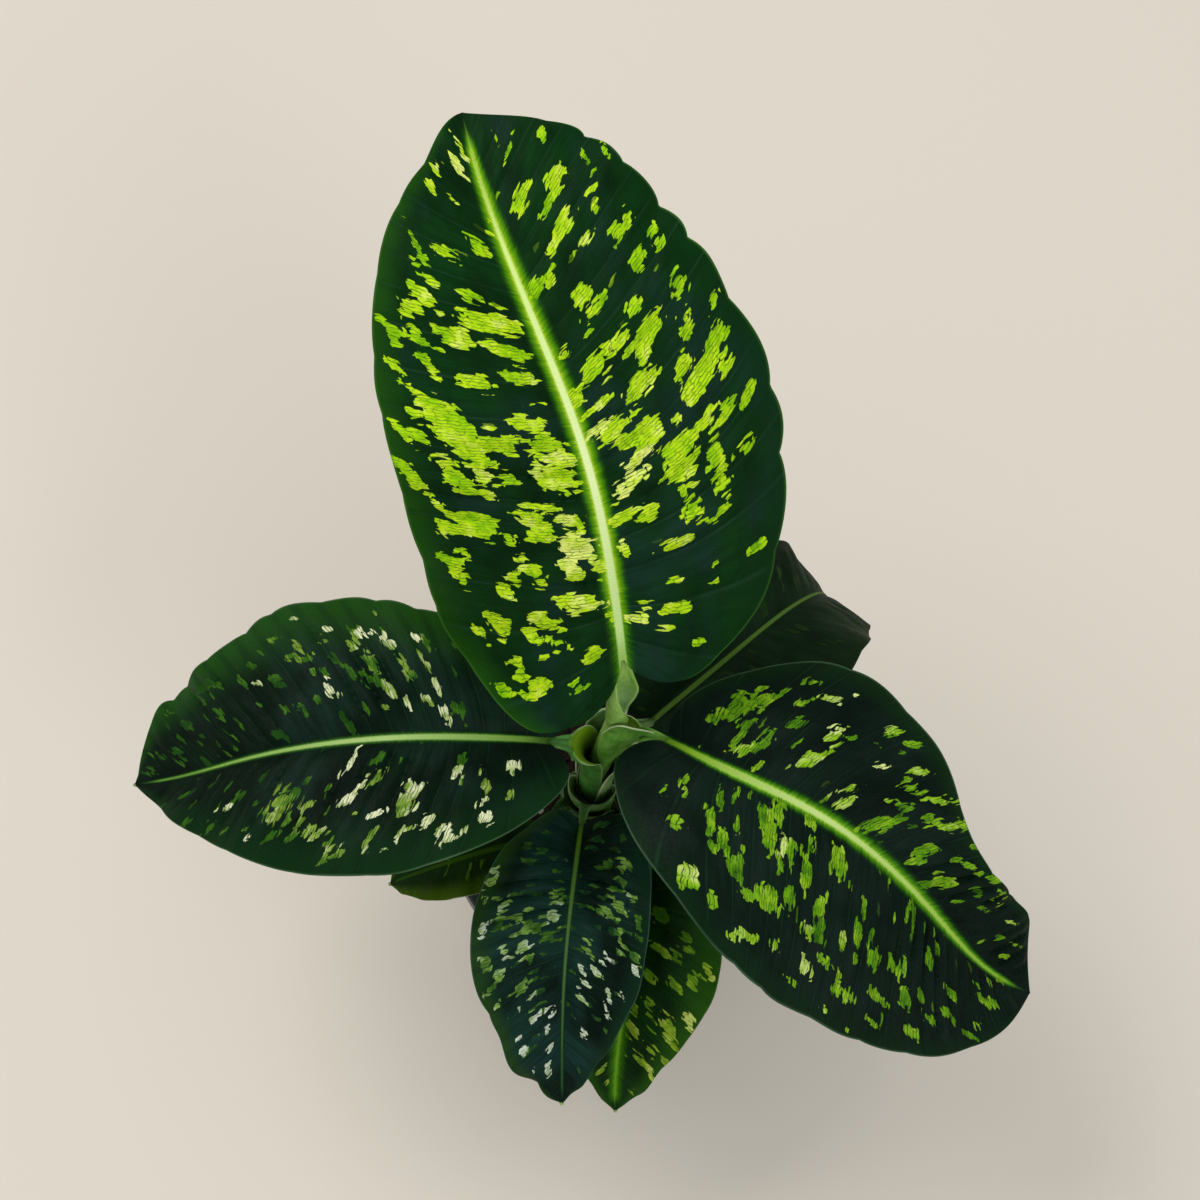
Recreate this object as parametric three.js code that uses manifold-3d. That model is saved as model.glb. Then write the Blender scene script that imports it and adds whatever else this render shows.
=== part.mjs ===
// Potted dieffenbachia: a broad-leaved house plant with spotted leaves in a plain round pot.
// Millimetres, +Z up. The origin is the middle of the pot's underside and the front is towards -Y.
// A leaf is a sheathed stalk and a blade. Each stalk's sheath wraps the stem and the younger stalks.
import * as THREE from "three";
import { mergeVertices } from "three/addons/utils/BufferGeometryUtils.js";
import Module from "manifold-3d";

// Driving dimensions, millimetres and degrees. Azimuth 0 is +X and turns towards +Y.

const gap = 0.3;                       // clearance between pieces that touch

const pot = {
  height: 125,
  rimRadius: 75,
  rimBand: 17,                         // height of the thicker band at the rim
  rimStep: 2.4,                        // how far the band stands out from the wall
  footRadius: 53,
  wall: 2.4,
  floor: 3,
  recess: 2,                           // depth of the ring-shaped recess in the underside
  hubRadius: 18,                       // flat disc in the middle of the underside
  footRing: 6,                         // width of the ring that the pot stands on
  holes: 8,
  holeRadius: 4,
  holeCircle: 32,
  edge: 0.8,                           // width of the bevels at the rim and the foot
  sides: 48,
};

const soil = {
  surface: 114,                        // height of the surface at the wall
  crown: 3,                            // how much higher it lies round the stem
  mound: [[0.75, 0.3], [0.5, 0.6], [0.25, 0.9]],   // part of the way out from the stem, part of the crown
  lump: 0.8,                           // unevenness of the surface
  holeDepth: 42,                       // how deep the stem stands
  sides: 36,
};

const stem = {
  soilRadius: 12.5,                    // at the soil, and below it
  footBevel: 2,
  ringHeight: 0.7,                     // how far an old leaf scar stands out
  ringHalf: 1.5,                       // half the height of a scar
  scars: [120, 125.5],                 // heights of the scars under the lowest leaf
  topHeight: 186,
  sides: 28,
};

// Where the middle of the stem and of the rolled sheaths runs, at equal steps of height.
const stemLine = { from: 120, step: 35, x: [0, -1, -0.5, 3.5, 10], y: [0, 4, 6, 9, 12] };

const sheathWall = 1;
const sheathGap = 0.45;                // between one sheath and the next
const coreRadius = 4.6;                // the innermost stalk
const coreWall = 2.6;
const foldSteps = 12;                  // sides of a sheath's arc

const blade = {
  thickness: 1,
  rows: 20,                            // along the midrib, each one following a side vein
  columns: 5,                          // from the midrib to the margin
};

// The leaves from the youngest to the oldest. All lists run from the base of the blade to its tip.
//   base         where the stalk becomes the blade
//   azimuth, slope   heading of the midrib and its rise
//   left, right  each half seen from above, looking towards the tip: half widths at equal steps,
//                how far its lobe reaches back past the base, lift of the half beside the midrib
//                and its slope at the margin
//   forward      how far the side veins run towards the tip
//   wave         height of the margin's waves, their number and where they start
//   sheath       foot and rim: heights on the stem; keel: the side where the stalk leaves;
//                lean, flare, bulge, dip: how far the rim's middle leans off the stem's, how much
//                wider and how much thicker at the keel it is, and how much lower it is there;
//                wrap: how far the sheath reaches round from the keel, at its foot and at its rim
//   stalk        half width of the free stalk at its start and at the blade
//   rib          half width and depth of the midrib under the base of the blade
const leaves = {
  newest: {
    base: [12, 21, 318], length: 253, azimuth: [98, 104, 114, 112, 102], slope: [48, 42, 32, 22, 12, 4],
    left: { widths: [48, 76, 79, 79, 74, 61, 43, 18], lobe: 33, lift: [4, 14, 10], margin: [-40, -14, -14] },
    right: { widths: [32, 71, 85, 88, 80, 70, 60, 42], lobe: 14, lift: [8, 14, 10], margin: [-30, -14, -14] },
    forward: 40, wave: [2, 5, 0.1], rib: [3.4, 4.4],
    sheath: { foot: 188, rim: 262, keel: 102, lean: [0, 0], flare: 1, bulge: 0, dip: 0, wrap: [122, 116] }, stalk: [5.6, 3],
  },
  right: {
    base: [33, 3, 258], length: 224, azimuth: [326, 334, 324, 322, 347], slope: [18, 2, -14, -32, -42, -30],
    left: { widths: [16, 54, 68, 60, 40, 33, 34, 29], lobe: 3, lift: [22, 20, 16], margin: [-26, -24, -24] },
    right: { widths: [26, 55, 75, 81, 77, 68, 53, 32], lobe: 13, lift: [22, 20, 16], margin: [-26, -24, -24] },
    forward: 28, wave: [2, 5, 0], rib: [3.4, 4],
    sheath: { foot: 176, rim: 250, keel: 344, lean: [5, -3.4], flare: 4.6, bulge: 1.5, dip: 4, wrap: [140, 112] }, stalk: [4.4, 3],
  },
  left: {
    base: [-22, 5, 250], length: 215, azimuth: [183, 182, 183, 184, 176], slope: [22, 10, -8, -24, -36, -30],
    left: { widths: [22, 48, 62, 64, 57, 43, 28, 13], lobe: 7, lift: [22, 20, 16], margin: [-26, -24, -24] },
    right: { widths: [26, 50, 61, 70, 68, 57, 45, 32], lobe: 12, lift: [22, 20, 16], margin: [-26, -24, -24] },
    forward: 28, wave: [2, 5, 0.3], rib: [3.4, 4],
    sheath: { foot: 167, rim: 243, keel: 186, lean: [-7.6, -4.8], flare: 3, bulge: 2, dip: 4, wrap: [122, 88] }, stalk: [4.4, 3],
  },
  back: {
    base: [28, 23, 227], length: 168, azimuth: [34, 40, 42, 44], slope: [28, 14, -2, -42, -80, -87],
    left: { widths: [16, 38, 47, 46, 38, 29, 21, 11], lobe: 8, lift: [20, 14, 6], margin: [-20, -16, -10] },
    right: { widths: [16, 38, 47, 46, 38, 31, 22, 12], lobe: 8, lift: [20, 14, 6], margin: [-20, -16, -10] },
    forward: 20, wave: [2, 5, 0.2], rib: [3, 3.4],
    sheath: { foot: 158, rim: 220, keel: 40, lean: [2.3, 1.9], flare: 3, bulge: 1.5, dip: 2, wrap: [140, 100] }, stalk: [3.8, 2.7],
  },
  front: {
    base: [-7, -21, 196], length: 143, azimuth: [263, 264, 268, 271], slope: [16, 4, -12, -30, -44, -52],
    left: { widths: [20, 35, 38, 38, 34, 25, 17, 8], lobe: 6, lift: [22, 20, 16], margin: [-26, -24, -24] },
    right: { widths: [14, 35, 44, 45, 41, 30, 23, 12], lobe: 6, lift: [22, 20, 16], margin: [-26, -24, -24] },
    forward: 18, wave: [2, 5, 0], rib: [2.6, 3],
    sheath: { foot: 149, rim: 186, keel: 255, lean: [-0.8, -2.9], flare: 2, bulge: 1.5, dip: 2, wrap: [140, 96] }, stalk: [3.6, 2.2],
  },
  lowLeft: {
    base: [-33, -25, 184], length: 74, azimuth: [196, 194, 191], slope: [8, -6, -24, -40],
    left: { widths: [9, 17, 20, 20, 18, 15, 10, 6], lobe: 5, lift: [20, 14, 6], margin: [-20, -16, -10] },
    right: { widths: [9, 20, 25, 25, 22, 17, 11, 6], lobe: 5, lift: [20, 14, 6], margin: [-20, -16, -10] },
    forward: 12, wave: [1.5, 5, 0.2], rib: [2.6, 3],
    sheath: { foot: 140, rim: 168, keel: 215, lean: [-1.6, -1.1], flare: 2, bulge: 1.5, dip: 1, wrap: [140, 90] }, stalk: [3.6, 2.2],
  },
  lowFront: {
    base: [26, -36, 174], length: 126, azimuth: [262, 258, 262, 270], slope: [10, 0, -20, -40, -46],
    left: { widths: [12, 31, 41, 42, 36, 27, 19, 11], lobe: 6, lift: [22, 20, 16], margin: [-26, -24, -24] },
    right: { widths: [12, 30, 38, 38, 34, 26, 17, 8], lobe: 6, lift: [22, 20, 16], margin: [-26, -24, -24] },
    forward: 14, wave: [2, 5, 0.2], rib: [2.6, 3],
    sheath: { foot: 131, rim: 158, keel: 300, lean: [1, -1.7], flare: 2, bulge: 1.5, dip: 1, wrap: [140, 90] }, stalk: [3.6, 2.2],
  },
};

const colours = {
  pot: 0x22262e,
  soil: 0x3b2c21,
  stem: 0x6f7f42,
  stalk: 0x5f883b,
  blade: 0x123a20,
};

// Small helpers

const radians = (degrees) => (degrees * Math.PI) / 180;
const mix = (a, b, f) => a + (b - a) * f;
const clamp = (value) => Math.min(Math.max(value, 0), 1);
const up = new THREE.Vector3(0, 0, 1);

// A smooth curve through values at equal steps, read at 0 to 1.
function spline(values, at) {
  const last = values.length - 1;
  const place = clamp(at) * last;
  const i = Math.min(Math.floor(place), last - 1);
  const f = place - i;
  const value = (k) => {
    if (k < 0) return 2 * values[0] - values[1];
    if (k > last) return 2 * values[last] - values[last - 1];
    return values[k];
  };
  const [a, b, c, d] = [value(i - 1), value(i), value(i + 1), value(i + 2)];
  return b + 0.5 * f * (c - a + f * (2 * a - 5 * b + 4 * c - d + f * (3 * (b - c) + d - a)));
}

// Middle of the stem at a height.
function stemCentre(z) {
  const at = (z - stemLine.from) / (stemLine.step * (stemLine.x.length - 1));
  return new THREE.Vector3(spline(stemLine.x, at), spline(stemLine.y, at), z);
}

const heading = (azimuth, slope = 0) => new THREE.Vector3(
  Math.cos(radians(azimuth)) * Math.cos(radians(slope)),
  Math.sin(radians(azimuth)) * Math.cos(radians(slope)),
  Math.sin(radians(slope)),
);

// A closed body from points and polygons given as lists of point numbers.
function body(points, polygons) {
  const index = [];
  for (const polygon of polygons) {
    for (let k = 1; k < polygon.length - 1; k += 1) {
      index.push(polygon[0], polygon[k], polygon[k + 1]);
    }
  }
  const geometry = new THREE.BufferGeometry();
  geometry.setAttribute("position", new THREE.Float32BufferAttribute(points.flatMap((p) => p.toArray()), 3));
  geometry.setIndex(index);
  return geometry;
}

function piece(name, geometry, colour, roughness) {
  geometry.computeVertexNormals();
  const material = new THREE.MeshStandardMaterial({ color: colour, roughness, metalness: 0 });
  const mesh = new THREE.Mesh(geometry, material);
  mesh.name = name;
  return mesh;
}

const wasm = await Module();
wasm.setup();

function toManifold(geometry) {
  const bare = geometry.clone();
  bare.deleteAttribute("normal");
  bare.deleteAttribute("uv");
  const merged = mergeVertices(bare, 1e-4);
  return new wasm.Manifold(new wasm.Mesh({
    numProp: 3,
    vertProperties: new Float32Array(merged.attributes.position.array),
    triVerts: new Uint32Array(merged.index.array),
  }));
}

function fromManifold(solid) {
  const mesh = solid.getMesh();
  const geometry = new THREE.BufferGeometry();
  geometry.setAttribute("position", new THREE.Float32BufferAttribute(mesh.vertProperties, 3));
  geometry.setIndex([...mesh.triVerts]);
  return geometry;
}

// A profile of [radius, height] turned about the upright axis.
function turned(profile, sides) {
  const points = profile.map(([radius, height]) => new THREE.Vector2(radius, height));
  return new THREE.LatheGeometry(points, sides).rotateX(Math.PI / 2);
}

// Pot: a tapered wall with a thicker rim band, a floor with drain holes and a foot ring

const potOuter = (z) => mix(pot.footRadius, pot.rimRadius - pot.rimStep, z / pot.height);
const potInner = (z) => potOuter(z) - pot.wall;
const floorTop = pot.recess + pot.floor;

function makePot() {
  const bandFoot = pot.height - pot.rimBand;
  const outer = [
    [0, 0],
    [pot.hubRadius, 0],
    [pot.hubRadius + pot.recess, pot.recess],
    [pot.footRadius - pot.footRing - pot.recess, pot.recess],
    [pot.footRadius - pot.footRing, 0],
    [pot.footRadius - pot.edge, 0],
    [potOuter(pot.edge), pot.edge],
    [potOuter(bandFoot), bandFoot],
    [pot.rimRadius - pot.edge, bandFoot + pot.edge],
    [pot.rimRadius, pot.height - pot.edge],
    [pot.rimRadius - pot.edge, pot.height],
  ];
  const inner = [
    [potInner(pot.height) + pot.edge, pot.height],
    [potInner(pot.height), pot.height - pot.edge],
    [potInner(floorTop), floorTop],
    [0, floorTop],
  ];
  let solid = toManifold(turned([...outer, ...inner], pot.sides));
  for (let k = 0; k < pot.holes; k += 1) {
    const angle = (k * 2 * Math.PI) / pot.holes;
    const hole = new THREE.CylinderGeometry(pot.holeRadius, pot.holeRadius, 4 * pot.floor, 12);
    hole.rotateX(Math.PI / 2);
    hole.translate(pot.holeCircle * Math.cos(angle), pot.holeCircle * Math.sin(angle), floorTop);
    solid = solid.subtract(toManifold(hole));
  }
  return fromManifold(solid);
}

// Potting mix: fills the pot, with an uneven surface and a plain hole for the stem

function makeSoil() {
  const holeRadius = stem.soilRadius + gap;
  const reach = potInner(soil.surface) - gap;
  const bottom = floorTop + gap;
  const profile = [
    [0, bottom],
    [potInner(bottom) - gap, bottom],
    [reach, soil.surface],
    ...soil.mound.map(([out, share]) => [mix(holeRadius, reach, out), soil.surface + share * soil.crown]),
    [holeRadius, soil.surface + soil.crown],
    [holeRadius, soil.surface - soil.holeDepth],
    [0, soil.surface - soil.holeDepth],
  ];
  const geometry = turned(profile, soil.sides);
  const places = geometry.attributes.position;
  for (let k = 0; k < places.count; k += 1) {
    const [x, y, z] = [places.getX(k), places.getY(k), places.getZ(k)];
    const radius = Math.hypot(x, y);
    if (z > soil.surface + 0.1 && radius > holeRadius + 1) {
      places.setZ(k, z + soil.lump * Math.sin(0.31 * x + 1) * Math.cos(0.27 * y));
    }
  }
  return geometry;
}

// Stem: a fleshy cane with leaf scars, stepped in at each leaf's foot, where that sheath stands

const sheathOrder = Object.values(leaves);

// Inner radius of the sheath with this place in the order, 0 for the innermost.
const sheathInner = (order) => coreRadius + sheathGap + (order - 1) * (sheathWall + sheathGap);

function makeStem() {
  const bottom = soil.surface - soil.holeDepth + gap;
  const profile = [
    [0, bottom],
    [stem.soilRadius - stem.footBevel, bottom],
    [stem.soilRadius, bottom + stem.footBevel],
  ];
  for (const height of stem.scars) {
    profile.push([stem.soilRadius, height - stem.ringHalf]);
    profile.push([stem.soilRadius + stem.ringHeight, height]);
    profile.push([stem.soilRadius, height + stem.ringHalf]);
  }
  for (let order = sheathOrder.length - 1; order > 0; order -= 1) {
    const foot = sheathOrder[order].sheath.foot - gap;
    profile.push([sheathInner(order) + sheathWall, foot]);
    profile.push([sheathInner(order) - sheathGap, foot + 0.1]);
  }
  profile.push([coreRadius - 1, stem.topHeight], [0, stem.topHeight + 1.5]);
  const geometry = turned(profile, stem.sides);
  const places = geometry.attributes.position;
  for (let k = 0; k < places.count; k += 1) {
    const centre = stemCentre(places.getZ(k));
    places.setX(k, places.getX(k) + centre.x);
    places.setY(k, places.getY(k) + centre.y);
  }
  return geometry;
}

// Blade: its midrib is walked along by heading and slope, and each half spreads from it

const walkSteps = 48;

function walkMidrib(leaf) {
  const stride = leaf.length / walkSteps;
  const directions = [];
  for (let k = 0; k <= walkSteps; k += 1) {
    directions.push(heading(spline(leaf.azimuth, k / walkSteps), spline(leaf.slope, k / walkSteps)));
  }
  const points = [new THREE.Vector3(...leaf.base)];
  for (let k = 0; k < walkSteps; k += 1) {
    const step = directions[k].clone().add(directions[k + 1]).normalize().multiplyScalar(stride);
    points.push(points[k].clone().add(step));
  }
  return { points, directions };
}

// Point on the midrib, its direction, the blade's left and its face, at a distance from the base.
function midribFrame(leaf, along) {
  const place = clamp(along / leaf.length) * walkSteps;
  const i = Math.min(Math.floor(place), walkSteps - 1);
  const { points, directions } = leaf.walk;
  const ahead = directions[i].clone().lerp(directions[i + 1], place - i).normalize();
  const beyond = along - clamp(along / leaf.length) * leaf.length;
  const point = points[i].clone().lerp(points[i + 1], place - i).addScaledVector(ahead, beyond);
  const left = up.clone().cross(ahead).normalize();
  const face = ahead.clone().cross(left);
  return { point, ahead, left, face };
}

const ribTip = { half: 0.5, depth: 0.2 };   // the midrib at the tip, where it runs out
const notchGap = 1.8;                  // how far the lobes stay clear of the stalk
const foldReach = 80;                  // distance over which a half bends from its lift to its margin slope
const lobeCorner = { run: 0.05, narrower: 0.2, fade: 0.04 };   // how the corner of a lobe is rounded

// Point of the blade's upper face: distance along the midrib, and across it with left positive.
function bladePoint(leaf, along, across, lift = 0) {
  const { point, left, face } = midribFrame(leaf, along);
  const half = across < 0 ? leaf.right : leaf.left;
  const at = along / leaf.length;
  const near = spline(half.lift, at);
  const far = spline(half.margin, at);
  const reach = Math.abs(across);
  const angle = radians(near + ((far - near) * reach) / foldReach / 2);
  return point
    .addScaledVector(left, across * Math.cos(angle))
    .addScaledVector(face, reach * Math.sin(angle) + lift);
}

// Along, across and lift of a grid place: row 0 to 1 along the midrib, reach 0 to 1 across a half.
function bladePlace(leaf, side, row, reach) {
  const half = side > 0 ? leaf.left : leaf.right;
  const ribHalf = mix(leaf.rib[0], ribTip.half, row);
  const slimmed = 1 - lobeCorner.narrower * Math.exp(-row / lobeCorner.fade);
  const width = spline([...half.widths, 0], row) * slimmed;
  const lobed = (1 - row) ** 4;                       // rows turn back round the lobe near the base
  const turn = (reach * Math.PI) / 2;
  const late = row - row * Math.exp(-row / lobeCorner.run) * reach ** 4;
  const shift = leaf.forward * Math.sin(Math.PI * row) * Math.sqrt(row) - half.lobe * (1 - late) ** 3;
  const spread = lobed * (1 - Math.cos(turn)) + (1 - lobed) * reach;
  const run = lobed * Math.sin(turn) + (1 - lobed) * reach ** 1.5;
  const notch = lobed * notchGap * Math.sin(turn);
  const inside = ribHalf + notch;
  const [height, count, start] = leaf.wave;
  const phase = 2 * Math.PI * (count * row + start + (side > 0 ? 0 : 0.5));
  return {
    along: leaf.length * late + shift * run,
    across: side * (inside + (width - inside) * spread),
    lift: height * Math.sin(phase) * reach ** 2 * Math.min(1, 6 * (1 - row)),
  };
}

function makeBlade(leaf) {
  const tops = [];
  const faces = [];
  const nodeAt = new Map();
  const addPoint = (key, place) => {
    const point = bladePoint(leaf, place.along, place.across, place.lift);
    nodeAt.set(key, tops.length);
    tops.push({ point, place });
  };
  for (let row = 0; row < blade.rows; row += 1) {
    const at = row / blade.rows;
    addPoint(`${row},0`, { along: leaf.length * at, across: 0, lift: 0 });
    for (const side of [1, -1]) {
      for (let column = 1; column <= blade.columns; column += 1) {
        addPoint(`${row},${side * column}`, bladePlace(leaf, side, at, (column - 1) / (blade.columns - 1)));
      }
    }
  }
  addPoint("tip", { along: leaf.length, across: 0, lift: 0 });
  const node = (row, column) => (row === blade.rows ? nodeAt.get("tip") : nodeAt.get(`${row},${column}`));

  for (let row = 0; row < blade.rows; row += 1) {
    for (let column = -blade.columns; column < blade.columns; column += 1) {
      const corners = [node(row, column), node(row, column + 1), node(row + 1, column + 1), node(row + 1, column)];
      const order = column < 0 ? [0, 3, 2, 1] : [1, 0, 3, 2];
      faces.push([...new Set(order.map((k) => corners[k]))]);
    }
  }

  // the face's own normals set the underside one thickness below
  const normals = tops.map(() => new THREE.Vector3());
  for (const face of faces) {
    const [a, b, c] = face.map((k) => tops[k].point);
    const normal = b.clone().sub(a).cross(c.clone().sub(a)).normalize();
    for (const k of face) {
      normals[k].add(normal);
    }
  }
  const count = tops.length;
  const points = tops.map(({ point }) => point);
  for (let k = 0; k < count; k += 1) {
    const { along, across } = tops[k].place;
    const runOut = Math.sqrt(clamp(along / leaf.length));
    const onRib = across === 0 ? mix(leaf.rib[1], ribTip.depth, runOut) : 0;
    points.push(points[k].clone().addScaledVector(normals[k].normalize(), -blade.thickness - onRib));
  }

  const rim = [];
  for (let column = blade.columns; column > -blade.columns; column -= 1) {
    rim.push(node(0, column));
  }
  for (let row = 0; row < blade.rows; row += 1) {
    rim.push(node(row, -blade.columns));
  }
  rim.push(nodeAt.get("tip"));
  for (let row = blade.rows - 1; row > 0; row -= 1) {
    rim.push(node(row, blade.columns));
  }
  const under = faces.map((face) => face.map((k) => k + count).reverse());
  const edge = rim.map((k, i) => {
    const next = rim[(i + 1) % rim.length];
    return [k, k + count, next + count, next];
  });
  return body(points, [...faces, ...under, ...edge]);
}

// Stalk: a sheath that stands coaxial round the stem, then a grooved stalk that bends out to the blade

// One cross-section: an open fold, thick at the keel, with its opening opposite the keel.
function foldRing({ centre, keel, side, outer, inner, wrap, dip = 0 }) {
  const ring = [];
  const clear = 1 / Math.cos(radians(wrap / foldSteps));    // keeps the inner sides off what they wrap
  const cleared = inner.map((radius) => radius * clear);
  for (const [radii, direction] of [[outer, 1], [cleared, -1]]) {
    for (let k = 0; k <= foldSteps; k += 1) {
      const angle = direction * radians(mix(-wrap, wrap, k / foldSteps));
      ring.push(centre.clone()
        .addScaledVector(keel, radii[0] * Math.cos(angle))
        .addScaledVector(side, radii[1] * Math.sin(angle))
        .addScaledVector(up, -dip * (0.5 + 0.5 * Math.cos(angle))));
    }
  }
  return ring;
}

function loftRings(rings) {
  const points = rings.flat();
  const size = rings[0].length;
  const faces = [];
  for (let r = 0; r < rings.length - 1; r += 1) {
    for (let k = 0; k < size; k += 1) {
      const next = (k + 1) % size;
      faces.push([r * size + k, r * size + next, (r + 1) * size + next, (r + 1) * size + k]);
    }
  }
  const last = (rings.length - 1) * size;
  for (let k = 0; k < foldSteps; k += 1) {
    const [a, b, c, d] = [k, k + 1, size - 2 - k, size - 1 - k];
    faces.push([a, d, c, b], [last + a, last + b, last + c, last + d]);
  }
  return body(points, faces);
}

// Rings of the sheath: part of its height, and part of the rim's wrap that is left above the rim.
const sheathStations = [0, 0.35, 0.6, 0.8, 0.92, 1];
const aboveRim = [[2, 0.62], [4, 0.36]];

// Free stalk: it starts above the sheath's rim and inside its keel, and ends a little below the blade's face.
const stalk = {
  rings: 6,
  rise: 6,                             // from the rim to the start of the free stalk
  keelRise: 2,                         // the same for a stalk that leaves over its keel, on top of that
  keelReach: 0.3,                      // how far out it starts there, in stalk radii from the sheath's inside
  leaving: 60,                         // slope at which it leaves
  pull: 0.4,                           // how long it holds its direction at either end
  underFace: 0.4,
  groove: [0.25, 0.5],                 // depth and half width of the groove, in stalk radii
  wrap: [105, 92],
};

function makeStalk(leaf, order) {
  const { foot, rim, lean, flare, wrap, dip, bulge } = leaf.sheath;
  const leaning = new THREE.Vector3(...lean, 0);
  const keel = heading(leaf.sheath.keel);
  const side = up.clone().cross(keel);
  const innerRadius = order === 0 ? coreRadius - coreWall : sheathInner(order);
  const outerRadius = order === 0 ? coreRadius : innerRadius + sheathWall;
  const sheathRing = (f, rise, wrapLeft) => {
    const open = f ** 5;
    return {
      centre: stemCentre(mix(foot, rim, f)).addScaledVector(leaning, open).addScaledVector(up, rise),
      keel,
      side,
      outer: [outerRadius + (flare + bulge) * open, outerRadius + flare * open],
      inner: [innerRadius + flare * open, innerRadius + flare * open],
      wrap: mix(wrap[0], wrap[1], f) * wrapLeft,
      dip: dip * open,
    };
  };
  const rings = sheathStations.map((f) => foldRing(sheathRing(f, 0, 1)));
  const [startRadius, endRadius] = leaf.stalk;
  const rimRing = sheathRing(1, 0, 1);
  const start = rimRing.centre.clone().addScaledVector(up, stalk.rise - dip);
  let leaving = up;
  if (order > 0) {                     // the innermost stalk goes straight up from its sheath
    rings.push(...aboveRim.map(([rise, left]) => foldRing(sheathRing(1, rise, left))));
    start.addScaledVector(keel, rimRing.inner[0] + stalk.keelReach * startRadius);
    start.addScaledVector(up, stalk.keelRise);
    leaving = heading(leaf.sheath.keel, stalk.leaving);
  }

  // the free stalk: a curve from the keel at the rim to the base of the blade
  const { point, ahead, left, face } = midribFrame(leaf, -gap);
  const end = point.addScaledVector(face, -stalk.underFace);
  const pull = stalk.pull * start.distanceTo(end);
  const path = new THREE.CubicBezierCurve3(
    start,
    start.clone().addScaledVector(leaving, pull),
    end.clone().addScaledVector(ahead, -pull),
    end,
  );
  for (let k = 0; k <= stalk.rings; k += 1) {
    const f = k / stalk.rings;
    const forward = path.getTangent(f);
    const across = side.clone().lerp(left, f).normalize();
    const below = across.clone().cross(forward).normalize();
    const radius = mix(startRadius, endRadius, f);
    rings.push(foldRing({
      centre: path.getPoint(f),
      keel: below,
      side: forward.clone().cross(below),
      outer: [radius, radius],
      inner: stalk.groove.map((share) => share * radius),
      wrap: mix(stalk.wrap[0], stalk.wrap[1], f),
    }));
  }
  return loftRings(rings);
}

// The whole plant in its pot

const plant = new THREE.Group();
plant.add(piece("pot", makePot(), colours.pot, 0.45));
plant.add(piece("potting_mix", makeSoil(), colours.soil, 0.95));
plant.add(piece("stem", makeStem(), colours.stem, 0.5));
Object.entries(leaves).forEach(([name, leaf], order) => {
  const plainName = name.replace(/[A-Z]/g, (letter) => `_${letter.toLowerCase()}`);
  leaf.walk = walkMidrib(leaf);
  plant.add(piece(`petiole_${plainName}`, makeStalk(leaf, order), colours.stalk, 0.45));
  plant.add(piece(`blade_${plainName}`, makeBlade(leaf), colours.blade, 0.4));
});

export default plant;
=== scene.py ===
# Potted dieffenbachia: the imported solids, dressed for rendering.
# Blender works in metres, the dictionaries in millimetres and degrees. Azimuth 0 is +X and turns towards +Y.
import math

import bpy
import numpy as np
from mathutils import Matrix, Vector


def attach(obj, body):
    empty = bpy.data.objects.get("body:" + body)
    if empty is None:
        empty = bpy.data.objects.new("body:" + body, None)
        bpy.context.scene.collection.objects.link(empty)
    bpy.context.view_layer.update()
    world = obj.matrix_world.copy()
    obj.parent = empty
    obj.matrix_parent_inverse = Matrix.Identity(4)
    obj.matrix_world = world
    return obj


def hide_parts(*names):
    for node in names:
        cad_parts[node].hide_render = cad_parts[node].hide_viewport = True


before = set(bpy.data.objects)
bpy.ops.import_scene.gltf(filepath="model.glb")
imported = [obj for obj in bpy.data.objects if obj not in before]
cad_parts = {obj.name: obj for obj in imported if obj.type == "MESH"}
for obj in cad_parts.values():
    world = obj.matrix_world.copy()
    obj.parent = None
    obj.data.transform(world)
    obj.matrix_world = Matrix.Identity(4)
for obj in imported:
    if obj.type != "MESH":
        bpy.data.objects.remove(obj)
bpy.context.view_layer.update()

# Camera, floor and light first, because everything else is judged through them

view = {
    "aim": (2, 65.7, 272.8),       # the point that the lens looks at
    "distance": 1150,
    "elevation": 70,               # above the level, from the front
    "focal": 75,                   # on a 36 mm sensor
}

studio = {
    "floor": "#ded6ca",
    "floorSize": 9000,
    "ambient": ("#ffffff", 0.60),
    "key": {"at": (-1300, 1000, 2700), "size": 1700, "watts": 38, "colour": "#fffdfa"},
    "fill": {"at": (1500, -1900, 2400), "size": 1700, "watts": 24, "colour": "#fafcff"},
}


def linearColour(hexColour):
    channels = [int(hexColour[i:i + 2], 16) / 255 for i in (1, 3, 5)]
    return tuple(c / 12.92 if c <= 0.04045 else ((c + 0.055) / 1.055) ** 2.4 for c in channels) + (1.0,)


# Adds a node with its settings and links. Hex strings are colours, "range" holds the ends of a map range and
# "stops" the stops of a colour ramp. A node or socket is linked, and a node from its first output.
def addNode(material, kind, settings=None):
    tree = material.node_tree
    node = tree.nodes.new("ShaderNode" + kind)
    for name, value in (settings or {}).items():
        if isinstance(value, bpy.types.Node):
            tree.links.new(value.outputs[0], node.inputs[name])
        elif isinstance(value, bpy.types.NodeSocket):
            tree.links.new(value, node.inputs[name])
        elif name == "stops":
            stops, elements = list(value), node.color_ramp.elements
            while len(elements) < len(stops):
                elements.new(1)
            for element, (position, hexColour) in zip(elements, stops):
                element.position = position
                element.color = linearColour(hexColour)
        elif name == "range":
            for end, limit in zip(("From Min", "From Max", "To Min", "To Max"), value):
                node.inputs[end].default_value = limit
        elif isinstance(name, str) and hasattr(node, name):
            setattr(node, name, value)
        else:
            node.inputs[name].default_value = linearColour(value) if isinstance(value, str) else value
    return node


def newMaterial(name):
    material = bpy.data.materials.new(name)
    material.use_nodes = True
    material.node_tree.nodes.clear()
    return material


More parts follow.
